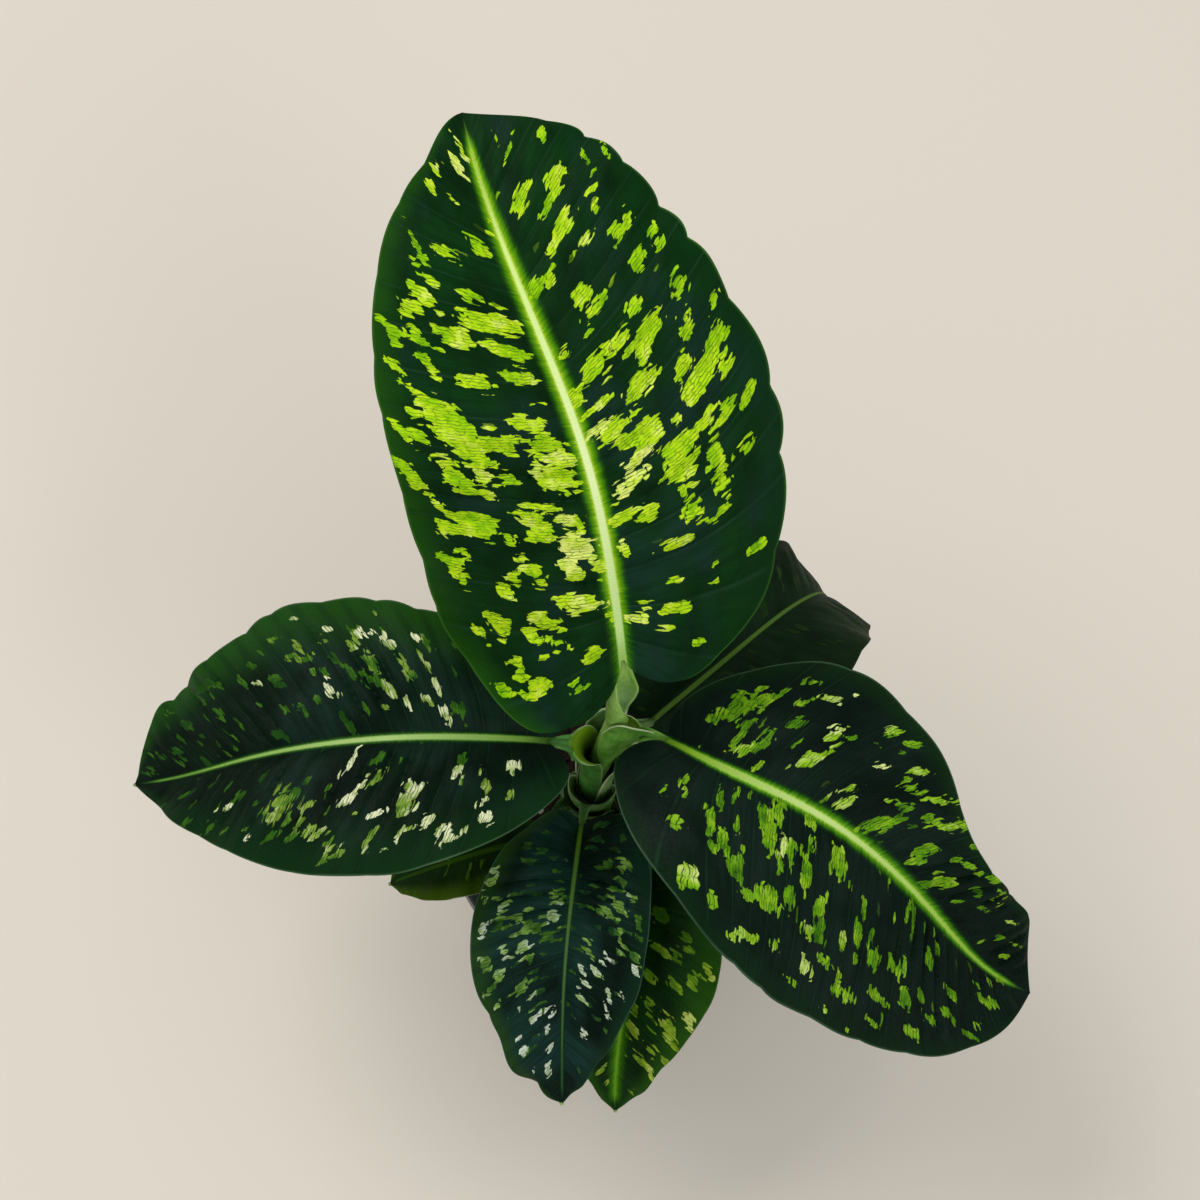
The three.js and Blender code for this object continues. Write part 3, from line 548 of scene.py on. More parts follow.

# Blotches: where the side vein under one starts on the midrib, distance out along it, half
# width across the veins, half length along them and tone, 0 dim to 1 pale. On right halves distances are
# below 0.
blotches = {
    "newest": (
        (64, 52, 6, 9, .6), (60, 65, 5, 4, .6), (74, 68, 6, 2, .6), (108, 52, 12, 9, .6), (98, 46, 5, 6, .6),
        (82, 54, 4, 5, .5), (90, 58, 5, 4, .6), (80, 46, 4, 3, .6), (89, 46, 4, 4, .7), (86, 75, 6, 3, .5),
        (104, 72, 5, 2, .5), (103, 66, 3, 3, .5), (111, 65, 3, 2, .5), (127, 64, 5, 2, .5),
        (139, 62, 4, 3, .5),
        (133, 53, 6, 2, .6), (143, 53, 4, 3, .5), (128, 36, 4, 7, .6), (145, 37, 4, 8, .6),
        (152, 50, 3, 4, .5),
        (157, 45, 4, 4, .6), (164, 40, 3, 4, .5), (174, 42, 6, 2, .4), (176, 31, 2, 5, .5),
        (162, 25, 3, 5, .5),
        (153, 20, 4, 13, .6), (143, 18, 3, 9, .5), (132, 17, 3, 6, .6), (102, 16, 4, 8, .6),
        (111, 20, 4, 8, .6),
        (96, 14, 3, 10, .7), (87, 14, 6, 9, .7), (80, 12, 2, 3, .6), (103, 35, 4, 7, .6), (88, 35, 3, 4, .6),
        (69, 30, 4, 7, .6), (74, 23, 2, 8, .6), (62, 26, 5, 6, .6), (68, 14, 4, 6, .7), (47, 17, 5, 5, .8),
        (56, 13, 6, 8, .9), (47, 6, 2, 3, .8), (32, 16, 4, 10, .8), (31, 6, 3, 2, .8), (46, 34, 3, 5, .7),
        (41, 31, 2, 3, .7),
        (50, 37, 2, 3, .6), (26, 32, 3, 7, .6), (19, 28, 2, 4, .6), (22, 39, 2, 3, .6), (25, 52, 4, 5, .6),
        (36, 46, 3, 3, .6), (43, 42, 2, 3, .6), (39, 64, 3, 3, .5), (46, 66, 3, 5, .5), (50, 60, 3, 3, .5),
        (59, 41, 3, 3, .6), (10, 46, 2, 8, .6), (11, 61, 1, 4, .5), (15, 51, 2, 5, .6), (12, 14, 2, 5, .6),
        (22, 62, 2, 2, .5), (185, 13, 4, 5, .5), (200, 30, 3, 2, .7), (210, 26, 3, 2, .7),
        (219, 12, 4, 3, .9),
        (229, 7, 4, 2, .8), (201, 20, 1, 2, .7), (120, 16, 1, 4, .6), (22, 2, 3, 2, .6), (5, 24, 1, 6, .3),
        (62, -20, 3, 5, .6), (65, -12, 2, 7, .7), (70, -38, 3, 9, .6), (76, -40, 5, 9, .6),
        (77, -17, 3, 8, .8),
        (77, -54, 3, 6, .6), (73, -64, 2, 6, .5), (70, -76, 2, 4, .4), (84, -23, 2, 8, .9),
        (88, -30, 4, 7, .6),
        (92, -24, 3, 8, .6), (86, -42, 3, 3, .6), (89, -59, 4, 11, .6), (92, -71, 4, 6, .5),
        (98, -53, 4, 5, .6),
        (84, -71, 2, 5, .5), (98, -15, 4, 8, .6), (102, -8, 3, 7, .8), (111, -12, 2, 6, .6),
        (106, -33, 4, 9, .6),
        (112, -38, 4, 4, .6), (117, -44, 4, 9, .6), (108, -62, 4, 4, .5), (102, -77, 2, 3, .4),
        (119, -65, 4, 4, .5),
        (124, -17, 4, 9, .6), (124, -32, 3, 6, .6), (128, -44, 3, 4, .6), (137, -7, 2, 3, .6),
        (140, -27, 2, 6, .5),
        (147, -25, 5, 5, .5), (137, -55, 3, 4, .5), (137, -65, 4, 3, .5), (151, -51, 3, 3, .5),
        (151, -58, 3, 3, .5),
        (160, -38, 2, 5, .6), (163, -15, 3, 4, .5), (166, -8, 3, 4, .4), (171, -29, 3, 10, .6),
        (163, -48, 2, 2, .5),
        (181, -28, 2, 5, .5), (184, -38, 4, 7, .6), (194, -20, 4, 6, .6), (19, -20, 1, 5, .6),
        (25, -26, 2, 7, .6),
        (22, -8, 2, 5, .7), (28, -13, 1, 5, .6), (34, -25, 1, 4, .6), (46, -30, 2, 8, .6),
        (54, -40, 4, 4, .6),
        (62, -37, 3, 2, .6), (48, -51, 2, 5, .5), (56, -54, 4, 4, .5), (65, -54, 4, 4, .5),
        (32, -65, 1, 4, .5),
        (59, -67, 2, 5, .5), (15, -37, 1, 2, .5), (34, -45, 1, 2, .5), (118, -33, 2, 3, .5),
        (120, -4, 4, 3, .7),
        (212, -22, 1, 3, .5), (214, -30, 1, 2, .5), (222, -19, 3, 1, .5), (200, -43, 3, 2, .4),
        (179, -56, 4, 1, .4),
        (173, -65, 3, 1, .4), (104, -60, 3, 2, .5), (52, -7, 4, 2, .7),
    ),
    "right": (
        (32, 54, 2, 2, .5), (42, 51, 4, 2, .8), (46, 57, 1, 1, .8), (36, 44, 2, 3, .4), (25, 36, 3, 6, .5),
        (20, 27, 3, 8, .5), (27, 22, 2, 4, .4), (27, 14, 2, 5, .5), (16, 18, 2, 4, .5), (41, 33, 3, 4, .4),
        (36, 22, 2, 4, .4), (38, 17, 2, 4, .4), (32, 11, 2, 3, .7), (42, 8, 2, 3, .7), (54, 40, 2, 2, .9),
        (55, 34, 2, 3, .7), (59, 39, 2, 2, .3), (56, 20, 3, 6, .6), (52, 13, 1, 2, .6), (64, 54, 2, 3, .8),
        (67, 50, 2, 2, .3), (72, 53, 3, 2, .4), (67, 44, 2, 1, .4), (74, 47, 2, 1, .3), (75, 36, 2, 2, .9),
        (77, 19, 2, 4, .7), (81, 11, 2, 5, .8), (83, 44, 2, 3, .6), (84, 38, 2, 2, .6), (90, 25, 2, 2, .5),
        (88, 35, 2, 3, .5), (96, 26, 3, 4, .4), (98, 45, 2, 2, .6), (98, 40, 2, 2, .6), (91, 37, 1, 3, .5),
        (97, 13, 3, 8, .3), (99, 19, 2, 5, .3), (110, 40, 3, 3, .5), (109, 35, 5, 4, .5), (103, 31, 2, 3, .4),
        (103, 22, 2, 1, .3), (117, 17, 3, 7, .4), (120, 12, 2, 4, .4), (130, 30, 5, 2, .5),
        (126, 27, 2, 2, .4),
        (135, 15, 4, 6, .6), (133, 8, 2, 4, .4), (139, 35, 3, 3, .5), (144, 25, 3, 3, .2),
        (150, 34, 3, 2, .6),
        (154, 30, 3, 1, .5), (157, 22, 2, 2, .3), (122, 40, 2, 2, .4), (172, 29, 3, 1, .7),
        (178, 19, 3, 1, .4),
        (191, 22, 3, 1, .6), (192, 12, 3, 2, .5),
        (19, -14, 1, 3, .5), (9, -12, 1, 1, .4), (32, -15, 2, 7, .4), (38, -11, 1, 5, .4),
        (22, -36, 2, 3, .5),
        (17, -26, 1, 2, .4), (25, -54, 2, 4, .6), (31, -60, 2, 3, .5), (30, -27, 2, 7, .4),
        (35, -34, 3, 5, .5),
        (32, -38, 2, 2, .5), (40, -24, 2, 5, .4), (41, -43, 3, 6, .4), (45, -51, 4, 2, .5),
        (51, -48, 2, 3, .5),
        (51, -16, 2, 5, .3), (55, -22, 3, 9, .5), (58, -9, 3, 7, .5), (62, -24, 2, 6, .9),
        (65, -25, 3, 5, .4),
        (62, -33, 4, 3, .5), (57, -49, 4, 5, .5), (55, -45, 4, 3, .5), (66, -43, 3, 5, .3),
        (73, -5, 2, 3, .6),
        (76, -17, 2, 5, .4), (74, -30, 3, 8, .5), (89, -16, 4, 8, .6), (97, -22, 1, 2, .4),
        (83, -40, 3, 4, .5),
        (85, -48, 4, 6, .2), (79, -51, 3, 3, .7), (89, -57, 4, 2, .5), (97, -45, 2, 3, .6),
        (95, -58, 3, 1, .5),
        (100, -64, 4, 3, .6), (106, -62, 3, 2, .5), (81, -64, 4, 3, .8), (61, -65, 3, 2, .6),
        (45, -67, 6, 2, .6),
        (39, -70, 3, 2, .6), (74, -73, 4, 1, .6), (96, -74, 2, 1, .7), (111, -74, 2, 1, .6),
        (119, -64, 4, 1, .6),
        (106, -27, 2, 5, .4), (111, -35, 1, 5, .4), (104, -38, 2, 5, .4), (115, -42, 4, 5, .4),
        (119, -8, 1, 5, .5),
        (105, -48, 2, 2, .4), (126, -38, 3, 3, .4), (133, -35, 2, 4, .5), (136, -45, 4, 4, .5),
        (145, -39, 3, 2, .4),
        (136, -12, 2, 8, .3), (131, -13, 1, 5, .4), (149, -22, 2, 5, .3), (154, -14, 2, 3, .4),
        (163, -27, 4, 2, .4),
        (160, -37, 4, 2, .4), (150, -45, 4, 2, .4), (122, -54, 6, 2, .5), (140, -56, 3, 2, .5),
        (172, -40, 4, 1, .4),
        (178, -34, 2, 2, .6), (183, -13, 2, 1, .4), (187, -19, 4, 2, .4), (193, -17, 2, 2, .4),
        (194, -7, 2, 2, .4),
        (203, -2, 3, 1, .5),
    ),
    "left": (
        (33, 51, 3, 4, .9), (29, 47, 1, 4, .8), (36, 46, 3, 2, .8), (25, 40, 2, 3, .9), (27, 34, 2, 3, .8),
        (20, 29, 1, 2, .8), (27, 25, 2, 4, .7), (19, 16, 2, 5, .9), (30, 19, 1, 4, .7), (40, 20, 2, 5, .9),
        (39, 12, 2, 3, .5), (44, 42, 3, 3, .9), (50, 46, 3, 2, .8), (56, 55, 3, 1, .7), (54, 36, 3, 5, .6),
        (54, 30, 4, 6, .7), (57, 26, 2, 3, .7), (62, 49, 1, 4, .7), (64, 39, 3, 2, 1), (73, 58, 5, 2, .5),
        (74, 54, 3, 2, .6), (77, 51, 2, 1, .5), (75, 25, 2, 4, .9), (71, 21, 2, 4, .6), (75, 20, 2, 2, .8),
        (79, 32, 3, 4, .9), (72, 39, 1, 1, .7), (84, 47, 5, 2, .6), (86, 12, 2, 6, 1), (88, 18, 1, 4, .9),
        (76, 13, 2, 4, .3), (95, 40, 3, 3, .6), (95, 33, 3, 2, .6), (90, 45, 4, 2, .5), (97, 47, 3, 2, .5),
        (90, 29, 1, 6, .3), (106, 46, 4, 2, .4), (115, 45, 2, 2, 1), (101, 39, 2, 2, .5), (107, 34, 5, 4, .5),
        (105, 28, 4, 5, .4), (110, 29, 4, 5, .5), (102, 20, 2, 3, .2), (114, 22, 1, 5, .4),
        (119, 41, 2, 1, .4),
        (126, 14, 2, 3, .1), (121, 29, 2, 2, .2), (132, 40, 4, 1, .4), (141, 36, 3, 2, .3),
        (146, 33, 3, 1, .4),
        (144, 39, 2, 1, .4), (138, 27, 3, 1, .8), (155, 32, 2, 2, .3), (168, 15, 3, 2, .1),
        (180, 21, 3, 2, .1),
        (156, 12, 3, 1, .1), (134, 22, 2, 3, .1),
        (46, -12, 2, 6, .9), (46, -24, 2, 6, .8), (38, -11, 2, 5, .3), (42, -14, 2, 3, .3),
        (52, -18, 2, 3, .7),
        (60, -16, 1, 4, .9), (54, -30, 2, 5, .6), (46, -33, 1, 4, .6), (55, -37, 2, 3, .7),
        (42, -44, 2, 4, .5),
        (46, -47, 2, 2, .9), (56, -45, 3, 3, .8), (61, -51, 2, 2, 1), (53, -61, 2, 1, .6),
        (65, -22, 2, 4, .7),
        (70, -15, 2, 1, .5), (67, -36, 3, 5, .5), (70, -29, 3, 4, .3), (65, -42, 2, 2, .5),
        (76, -32, 2, 5, .3),
        (70, -47, 3, 3, .7), (74, -57, 2, 2, .9), (80, -40, 2, 3, .2), (79, -51, 2, 1, .5),
        (88, -26, 3, 5, .9),
        (89, -9, 2, 6, .1), (85, -36, 3, 2, .2), (90, -36, 2, 2, .5), (86, -45, 3, 2, .4),
        (91, -43, 3, 2, .4),
        (90, -50, 2, 3, .5), (95, -46, 3, 2, .4), (96, -57, 3, 1, .4), (84, -65, 2, 1, .8),
        (97, -22, 1, 2, .3),
        (104, -20, 3, 2, .3), (107, -21, 1, 2, .3), (104, -15, 1, 2, .3), (107, -37, 3, 2, .3),
        (106, -33, 3, 2, .2),
        (115, -37, 2, 2, .8), (120, -41, 2, 4, .4), (112, -48, 2, 2, .2), (122, -9, 3, 3, .1),
        (121, -27, 1, 1, .4),
        (139, -29, 2, 4, .3), (135, -45, 6, 3, .2), (159, -29, 3, 4, .2), (155, -20, 2, 2, .1),
        (165, -5, 2, 4, .1),
        (175, -17, 4, 3, .1), (161, -41, 3, 2, .4), (140, -36, 3, 1, .3), (184, -15, 2, 4, .1),
        (195, -10, 2, 3, .1),
        (199, -6, 2, 2, .1),
    ),
    "front": (
        (55, 20, 2, 2, 1), (61, 14, 2, 2, .9), (66, 9, 2, 2, .9), (71, 12, 1, 1, .9), (77, 9, 2, 2, .9),
        (93, 12, 2, 2, 1), (55, 35, 2, 2, .9), (70, 24, 3, 1, .9), (80, 25, 1, 2, .9), (76, 23, 3, 1, .9),
        (67, 31, 2, 1, .8), (60, 27, 1, 1, .8), (37, 26, 2, 3, .7), (35, 24, 3, 3, .6), (40, 15, 2, 3, .6),
        (20, 25, 3, 3, .5), (19, 15, 2, 4, .4), (25, 25, 2, 2, .5), (30, 29, 2, 2, .6), (29, 20, 2, 2, .4),
        (54, 12, 2, 3, .5), (57, 12, 2, 2, .6), (47, 15, 2, 3, .2), (40, 34, 4, 2, .5), (50, 34, 3, 4, .4),
        (47, 26, 2, 1, .6),
        (45, -7, 3, 2, .9), (36, -9, 2, 3, .5), (49, -16, 3, 3, .5), (54, -10, 3, 4, .3), (54, -22, 3, 4, .7),
        (44, -25, 3, 4, .6), (47, -20, 3, 3, .4), (69, -22, 3, 3, .5), (60, -18, 2, 2, .6),
        (53, -31, 2, 3, .8),
        (38, -32, 2, 3, .6), (34, -35, 1, 2, .6), (43, -41, 3, 2, .9), (27, -39, 3, 3, .8),
        (34, -41, 2, 1, .6),
        (61, -33, 2, 3, .8), (64, -37, 2, 3, .6), (55, -39, 4, 3, .6), (71, -34, 2, 2, .6), (88, -6, 2, 2, 1),
        (95, -9, 2, 2, 1), (86, -16, 2, 2, 1), (90, -24, 2, 2, 1), (95, -22, 1, 1, 1), (105, -7, 2, 2, 1),
        (78, -23, 3, 1, .9), (115, -9, 4, 2, .9), (109, -18, 2, 1, .9), (78, -29, 2, 1, .6),
        (75, -17, 1, 1, .7),
    ),
    "lowFront": (
        (33, 38, 3, 4, .6), (39, 31, 3, 4, .5), (45, 25, 2, 5, .5), (48, 10, 3, 5, .5), (61, 25, 5, 6, .6),
        (53, 35, 3, 4, .9), (74, 7, 3, 4, .7), (76, 19, 2, 5, .6), (75, 28, 3, 4, .7), (85, 14, 2, 5, .6),
        (86, 21, 3, 2, .7), (65, 31, 2, 3, .5), (59, 13, 2, 4, .5), (35, 21, 3, 3, .2), (22, 10, 4, 5, .1),
        (36, 12, 2, 7, .6), (90, 5, 1, 3, .6), (64, 6, 2, 3, .4), (38, 47, 2, 2, .3), (105, 11, 1, 2, .5),
        (96, -10, 2, 4, .7), (105, -6, 1, 2, .6), (84, -12, 2, 3, .4), (70, -14, 3, 4, .3),
        (54, -16, 3, 4, .3),
        (60, -27, 3, 3, .3), (40, -20, 3, 4, .2), (28, -14, 3, 4, .2), (44, -31, 2, 3, .3),
        (26, 24, 2, 4, .2),
    ),
}

veinMesh = (1.4, 4.4)              # width and length of the fine cells that patches are made of
patchSize = (5, 11)                # pitch of the uneven field behind them, across and along the side veins
teethSize = (2, 9)                 # pitch of the finer field that gives their ends teeth


# What a blade's mesh tells its materials. vein: X foot on the midrib, Y way out, Z turn of the side veins.
# place: X row, Y reach, Z distance from the midrib's edge. field: X level of patches, Y glow, Z tone.
def readBlade(material):
    veins, place, field = (addNode(material, "Attribute", {"attribute_name": name}).outputs["Vector"]
                           for name in ("veins", "place", "field"))
    return veins, *(addNode(material, "SeparateXYZ", {0: each}) for each in (veins, place, field))


# Leaf blade, upper face: waxy skin over dark green tissue, with pale patches that end at the fine veins
# and so have stepped edges, dark hairline veins within them, and a bright midrib that bleeds into the blade.
def bladeMaterial(name, seed):
    look = looks[name]
    material = newMaterial("waxy_leaf_" + name)
    veins, vein, place, field = readBlade(material)

    # fine cells between the finest veins: a net of polygons drawn out along the side veins
    wobble = addNode(material, "TexNoise", {"Scale": 0.3, "Detail": 1.0, "Vector": veins})
    wobbled = addNode(material, "VectorMath",
                      {"operation": "MULTIPLY_ADD", 0: wobble.outputs["Color"], 1: (1.8, 1.8, 0), 2: veins})
    cells = addNode(material, "VectorMath",
                    {"operation": "MULTIPLY", 0: wobbled, 1: (1 / veinMesh[0], 1 / veinMesh[1], 0)})
    net = {"voronoi_dimensions": "2D", "Scale": 1.0, "Randomness": 0.9}
    cell = addNode(material, "TexVoronoi", {**net, "Vector": cells})
    seams = addNode(material, "TexVoronoi", {"feature": "DISTANCE_TO_EDGE", **net, "Vector": cells})
    cellRandom = addNode(material, "SeparateXYZ", {0: cell.outputs["Color"]})

    # one value a cell, read from a coarse pattern stretched along the side veins
    coarse = addNode(material, "VectorMath",
                     {"operation": "MULTIPLY_ADD", 0: cell.outputs["Position"],
                      1: (veinMesh[0] / patchSize[0], veinMesh[1] / patchSize[1], 0),
                      2: (seed * 7.3, seed * 3.1, 0)})
    pattern = addNode(material, "TexNoise",
                      {"noise_dimensions": "2D", "Scale": 1.0, "Detail": 2.0, "Roughness": 0.6,
                       "Vector": coarse})
    ragged = addNode(material, "Math",
                     {"operation": "MULTIPLY_ADD", 0: cellRandom.outputs["X"], 1: 0.3, 2: -1.95})
    uneven = addNode(material, "Math", {"operation": "MULTIPLY_ADD", 0: pattern, 1: 1.9, 2: ragged})
    # each strip ends where it likes, which gives a patch its comb of teeth
    teethAt = addNode(material, "VectorMath",
                      {"operation": "MULTIPLY_ADD", 0: cell.outputs["Position"],
                       1: (veinMesh[0] / teethSize[0], veinMesh[1] / teethSize[1], 0),
                       2: (seed * 3.7, seed * 9.1, 0)})
    teeth = addNode(material, "TexNoise",
                    {"noise_dimensions": "2D", "Scale": 1.0, "Detail": 1.0, "Vector": teethAt})
    both = addNode(material, "Math", {"operation": "MULTIPLY_ADD", 0: teeth, 1: 1.6, 2: uneven})
    level = addNode(material, "Math", {"operation": "ADD", 0: both, 1: field.outputs["X"]})
    patch = addNode(material, "MapRange", {"range": (-0.02, 0.03), "Value": level})

    # patches: colour varies from cell to cell and over the blade, and hairline veins cross them
    shade = addNode(material, "TexNoise", {"Scale": 0.12, "Detail": 2.0, "Vector": veins})
    varied = addNode(material, "Math",
                     {"operation": "MULTIPLY_ADD", 0: cellRandom.outputs["X"], 1: 0.16, 2: shade})
    toned = addNode(material, "Math", {"operation": "ADD", 0: varied, 1: field.outputs["Z"]})
    tone = addNode(material, "Math", {"operation": "SUBTRACT", 0: toned, 1: 0.6})
    patchColour = addNode(material, "ValToRGB",
                          {"stops": zip((0.1, 0.4, 0.66, 0.95), look["patch"]), "Fac": tone})
    wall = addNode(material, "MapRange", {"range": (0.02, 0.12, 1.0, 0.0), "Value": seams})
    strayed = addNode(material, "Math",
                      {"operation": "MULTIPLY_ADD", 0: wobble, 1: 1.6, 2: vein.outputs["X"]})
    threads = addNode(material, "Math", {"operation": "PINGPONG", 0: strayed, 1: 0.65})
    thread = addNode(material, "MapRange", {"range": (0.06, 0.2, 1.0, 0.0), "Value": threads})
    fainter = addNode(material, "Math", {"operation": "MULTIPLY", 0: wall, 1: 0.6})
    either = addNode(material, "Math", {"operation": "MAXIMUM", 0: thread, 1: fainter})
    hairline = addNode(material, "Math", {"operation": "MULTIPLY", 0: either, 1: look["lines"]})
    broken = addNode(material, "TexNoise", {"Scale": 0.35, "Detail": 1.0, "Vector": veins})
    brokenRange = addNode(material, "MapRange", {"range": (0.3, 0.52), "Value": broken})
    lineShare = addNode(material, "Math", {"operation": "MULTIPLY", 0: hairline, 1: brokenRange})
    patchLined = addNode(material, "MixRGB",
                         {"Fac": lineShare, "Color1": patchColour, "Color2": look["line"]})

    # ground: two dark greens, lighter towards the margin, with faint pale side veins, a painted sheen and
    # painted shade in the creases
    clouds = addNode(material, "TexNoise", {"Scale": 0.05, "Detail": 3.0, "Vector": veins})
    cloudRange = addNode(material, "MapRange", {"range": (0.35, 0.65), "Value": clouds})
    fine = addNode(material, "VectorMath", {"operation": "MULTIPLY", 0: wobbled, 1: (0.55, 0.05, 0)})
    streaks = addNode(material, "TexNoise", {"Scale": 1.0, "Detail": 3.0, "Vector": fine})
    streaked = addNode(material, "Math", {"operation": "MULTIPLY", 0: cloudRange, 1: streaks})
    brighter = addNode(material, "Math", {"operation": "MULTIPLY", "use_clamp": True, 0: streaked, 1: 1.8})
    ground = addNode(material, "MixRGB", {"Fac": brighter, "Color1": look["dark"], "Color2": look["deep"]})
    # painted sheen: bluish grey streaks laid on as colour where the wax would reflect the light
    sheenNoise = addNode(material, "TexNoise", {"Scale": 0.03, "Detail": 2.0, "Vector": veins})
    sheenRange = addNode(material, "MapRange", {"range": (0.48, 0.62, 0.0, 0.9), "Value": sheenNoise})
    paintedSheen = addNode(material, "Math", {"operation": "MULTIPLY", 0: sheenRange, 1: streaks})
    edge = addNode(material, "MapRange",
                   {"interpolation_type": "SMOOTHSTEP", "range": (look["band"], 1.02, 0.0, 0.8),
                    "Value": place.outputs["Y"]})
    onLeft = addNode(material, "Math", {"operation": "GREATER_THAN", 0: vein.outputs["Y"], 1: 0.0})
    marginColour = addNode(material, "MixRGB",
                           {"Fac": onLeft, "Color1": look["margins"][1], "Color2": look["margins"][0]})
    cycle = addNode(material, "Math", {"operation": "PINGPONG", 0: vein.outputs["Z"], 1: 0.5})
    veinLine = addNode(material, "MapRange", {"range": (0.0, 0.05, 0.5, 0.0), "Value": cycle})
    veinShown = addNode(material, "Math", {"operation": "MULTIPLY", 0: veinLine, 1: cloudRange})
    # painted shade: the ground darkens towards the dark green in the creases along the side veins, where the
    # cushions would shade them
    valley = addNode(material, "MapRange",
                     {"interpolation_type": "SMOOTHSTEP", "range": (0.0, 0.32, 0.42, 0.0), "Value": cycle})
    paintedCreaseShade = addNode(material, "Math", {"operation": "MULTIPLY", 0: valley, 1: cloudRange})

    # glow beside the midrib, feathered along the fine veins
    streak = addNode(material, "VectorMath", {"operation": "MULTIPLY", 0: veins, 1: (0.9, 0.12, 0)})
    feather = addNode(material, "TexNoise", {"Scale": 1.0, "Detail": 2.0, "Vector": streak})
    feathered = addNode(material, "Math", {"operation": "MULTIPLY_ADD", 0: feather, 1: 0.8, 2: -0.4})
    nearRib = addNode(material, "Math",
                      {"operation": "ADD", "use_clamp": True, 0: field.outputs["Y"], 1: feathered})
    glowOn = addNode(material, "Math",
                     {"operation": "MULTIPLY", "use_clamp": True, 0: nearRib, 1: field.outputs["Y"]})
    glowColour = addNode(material, "ValToRGB",
                         {"stops": zip((0.2, 0.45, 0.75, 0.95), look["glow"]), "Fac": glowOn})
    glowShare = addNode(material, "MapRange",
                        {"interpolation_type": "SMOOTHSTEP", "range": (0.0, 0.35), "Value": glowOn})
    # painted rim light: a thin pale line in the rim colour along the outermost edge of the upper face, patchy
    # with the clouds
    rimLightBand = addNode(material, "MapRange", {"range": (0.984, 0.996), "Value": place.outputs["Y"]})
    paintedRimLight = addNode(material, "Math", {"operation": "MULTIPLY", 0: rimLightBand, 1: clouds})

    # midrib: pale, over all the rest
    ribColour = addNode(material, "ValToRGB",
                        {"stops": zip((0.0, 0.06, 0.35, 0.75, 1.0), look["rib"]),
                         "Fac": place.outputs["X"]})
    ribOn = addNode(material, "MapRange",
                    {"interpolation_type": "SMOOTHSTEP", "range": (-0.6, 0.3, 1.0, 0.0),
                     "Value": place.outputs["Z"]})
    ribStops = addNode(material, "MapRange", {"range": (0.93, 0.99, 1.0, 0.0), "Value": place.outputs["X"]})
    ribShown = addNode(material, "Math", {"operation": "MULTIPLY", 0: ribOn, 1: ribStops})

    # the layers, each over the ones before it and by its share
    colour = ground
    for share, layer in ((paintedSheen, look["mist"]), (edge, marginColour), (paintedCreaseShade, look["dark"]),
                         (veinShown, look["vein"]), (glowShare, glowColour), (patch, patchLined),
                         (paintedRimLight, look["rim"]), (ribShown, ribColour)):
        colour = addNode(material, "MixRGB", {"Fac": share, "Color1": colour, "Color2": layer})

    # waxy sheen, a little uneven, and fine grain with sunken cell walls
    grain = addNode(material, "TexNoise", {"Scale": 1.6, "Detail": 3.0, "Vector": veins})
    wax = addNode(material, "MapRange",
                  {"range": (0.3, 0.7, look["gloss"] - 0.05, look["gloss"] + 0.1), "Value": grain})
    skin = addNode(material, "Math", {"operation": "MULTIPLY_ADD", 0: wall, 1: -0.5, 2: grain})
    return finishMaterial(material,
                          {"IOR": 1.45, "Specular IOR Level": 0.06, "Base Color": colour, "Roughness": wax},
                          (skin, 0.00012))


# Leaf blade, underside: matte and paler, with the patches showing through faintly and a pale keel
def undersideMaterial(name, seed):
    material = newMaterial("matte_underside_" + name)
    veins, vein, place, field = readBlade(material)
    coarse = addNode(material, "VectorMath",
                     {"operation": "MULTIPLY_ADD", 0: veins, 1: (1 / patchSize[0], 1 / patchSize[1], 0),
                      2: (seed * 7.3, seed * 3.1, 0)})
    pattern = addNode(material, "TexNoise",
                      {"noise_dimensions": "2D", "Scale": 1.0, "Detail": 2.5, "Roughness": 0.6,
                       "Vector": coarse})
    level = addNode(material, "Math",
                    {"operation": "MULTIPLY_ADD", 0: pattern, 1: 1.5, 2: field.outputs["X"]})
    ghost = addNode(material, "MapRange", {"range": (0.6, 0.9, 0.0, 0.6), "Value": level})
    clouds = addNode(material, "TexNoise", {"Scale": 0.07, "Detail": 4.0, "Vector": veins})
    ground = addNode(material, "MixRGB", {"Fac": clouds, "Color1": "#3f6434", "Color2": "#557c42"})
    cycle = addNode(material, "Math", {"operation": "PINGPONG", 0: vein.outputs["Z"], 1: 0.5})
    veinLine = addNode(material, "MapRange", {"range": (0.0, 0.08, 0.6, 0.0), "Value": cycle})
    ribOn = addNode(material, "MapRange",
                    {"interpolation_type": "SMOOTHSTEP", "range": (0.6, 2.4, 1.0, 0.0),
                     "Value": place.outputs["Z"]})
    leaving = addNode(material, "MapRange",
                      {"interpolation_type": "SMOOTHSTEP", "range": (0.03, 0.2),
                       "Value": place.outputs["X"]})
    keelColour = addNode(material, "MixRGB",
                         {"Fac": leaving, "Color1": looks[name]["rib"][0], "Color2": "#98b468"})
    colour = ground
    for share, layer in ((ghost, "#8fae4c"), (veinLine, "#86a866"), (ribOn, keelColour)):
        colour = addNode(material, "MixRGB", {"Fac": share, "Color1": colour, "Color2": layer})
    grain = addNode(material, "TexNoise", {"Scale": 1.4, "Detail": 3.0, "Vector": veins})
    return finishMaterial(material,
                          {"IOR": 1.45, "Roughness": 0.62, "Specular IOR Level": 0.3, "Base Color": colour},
                          (grain, 0.00015))


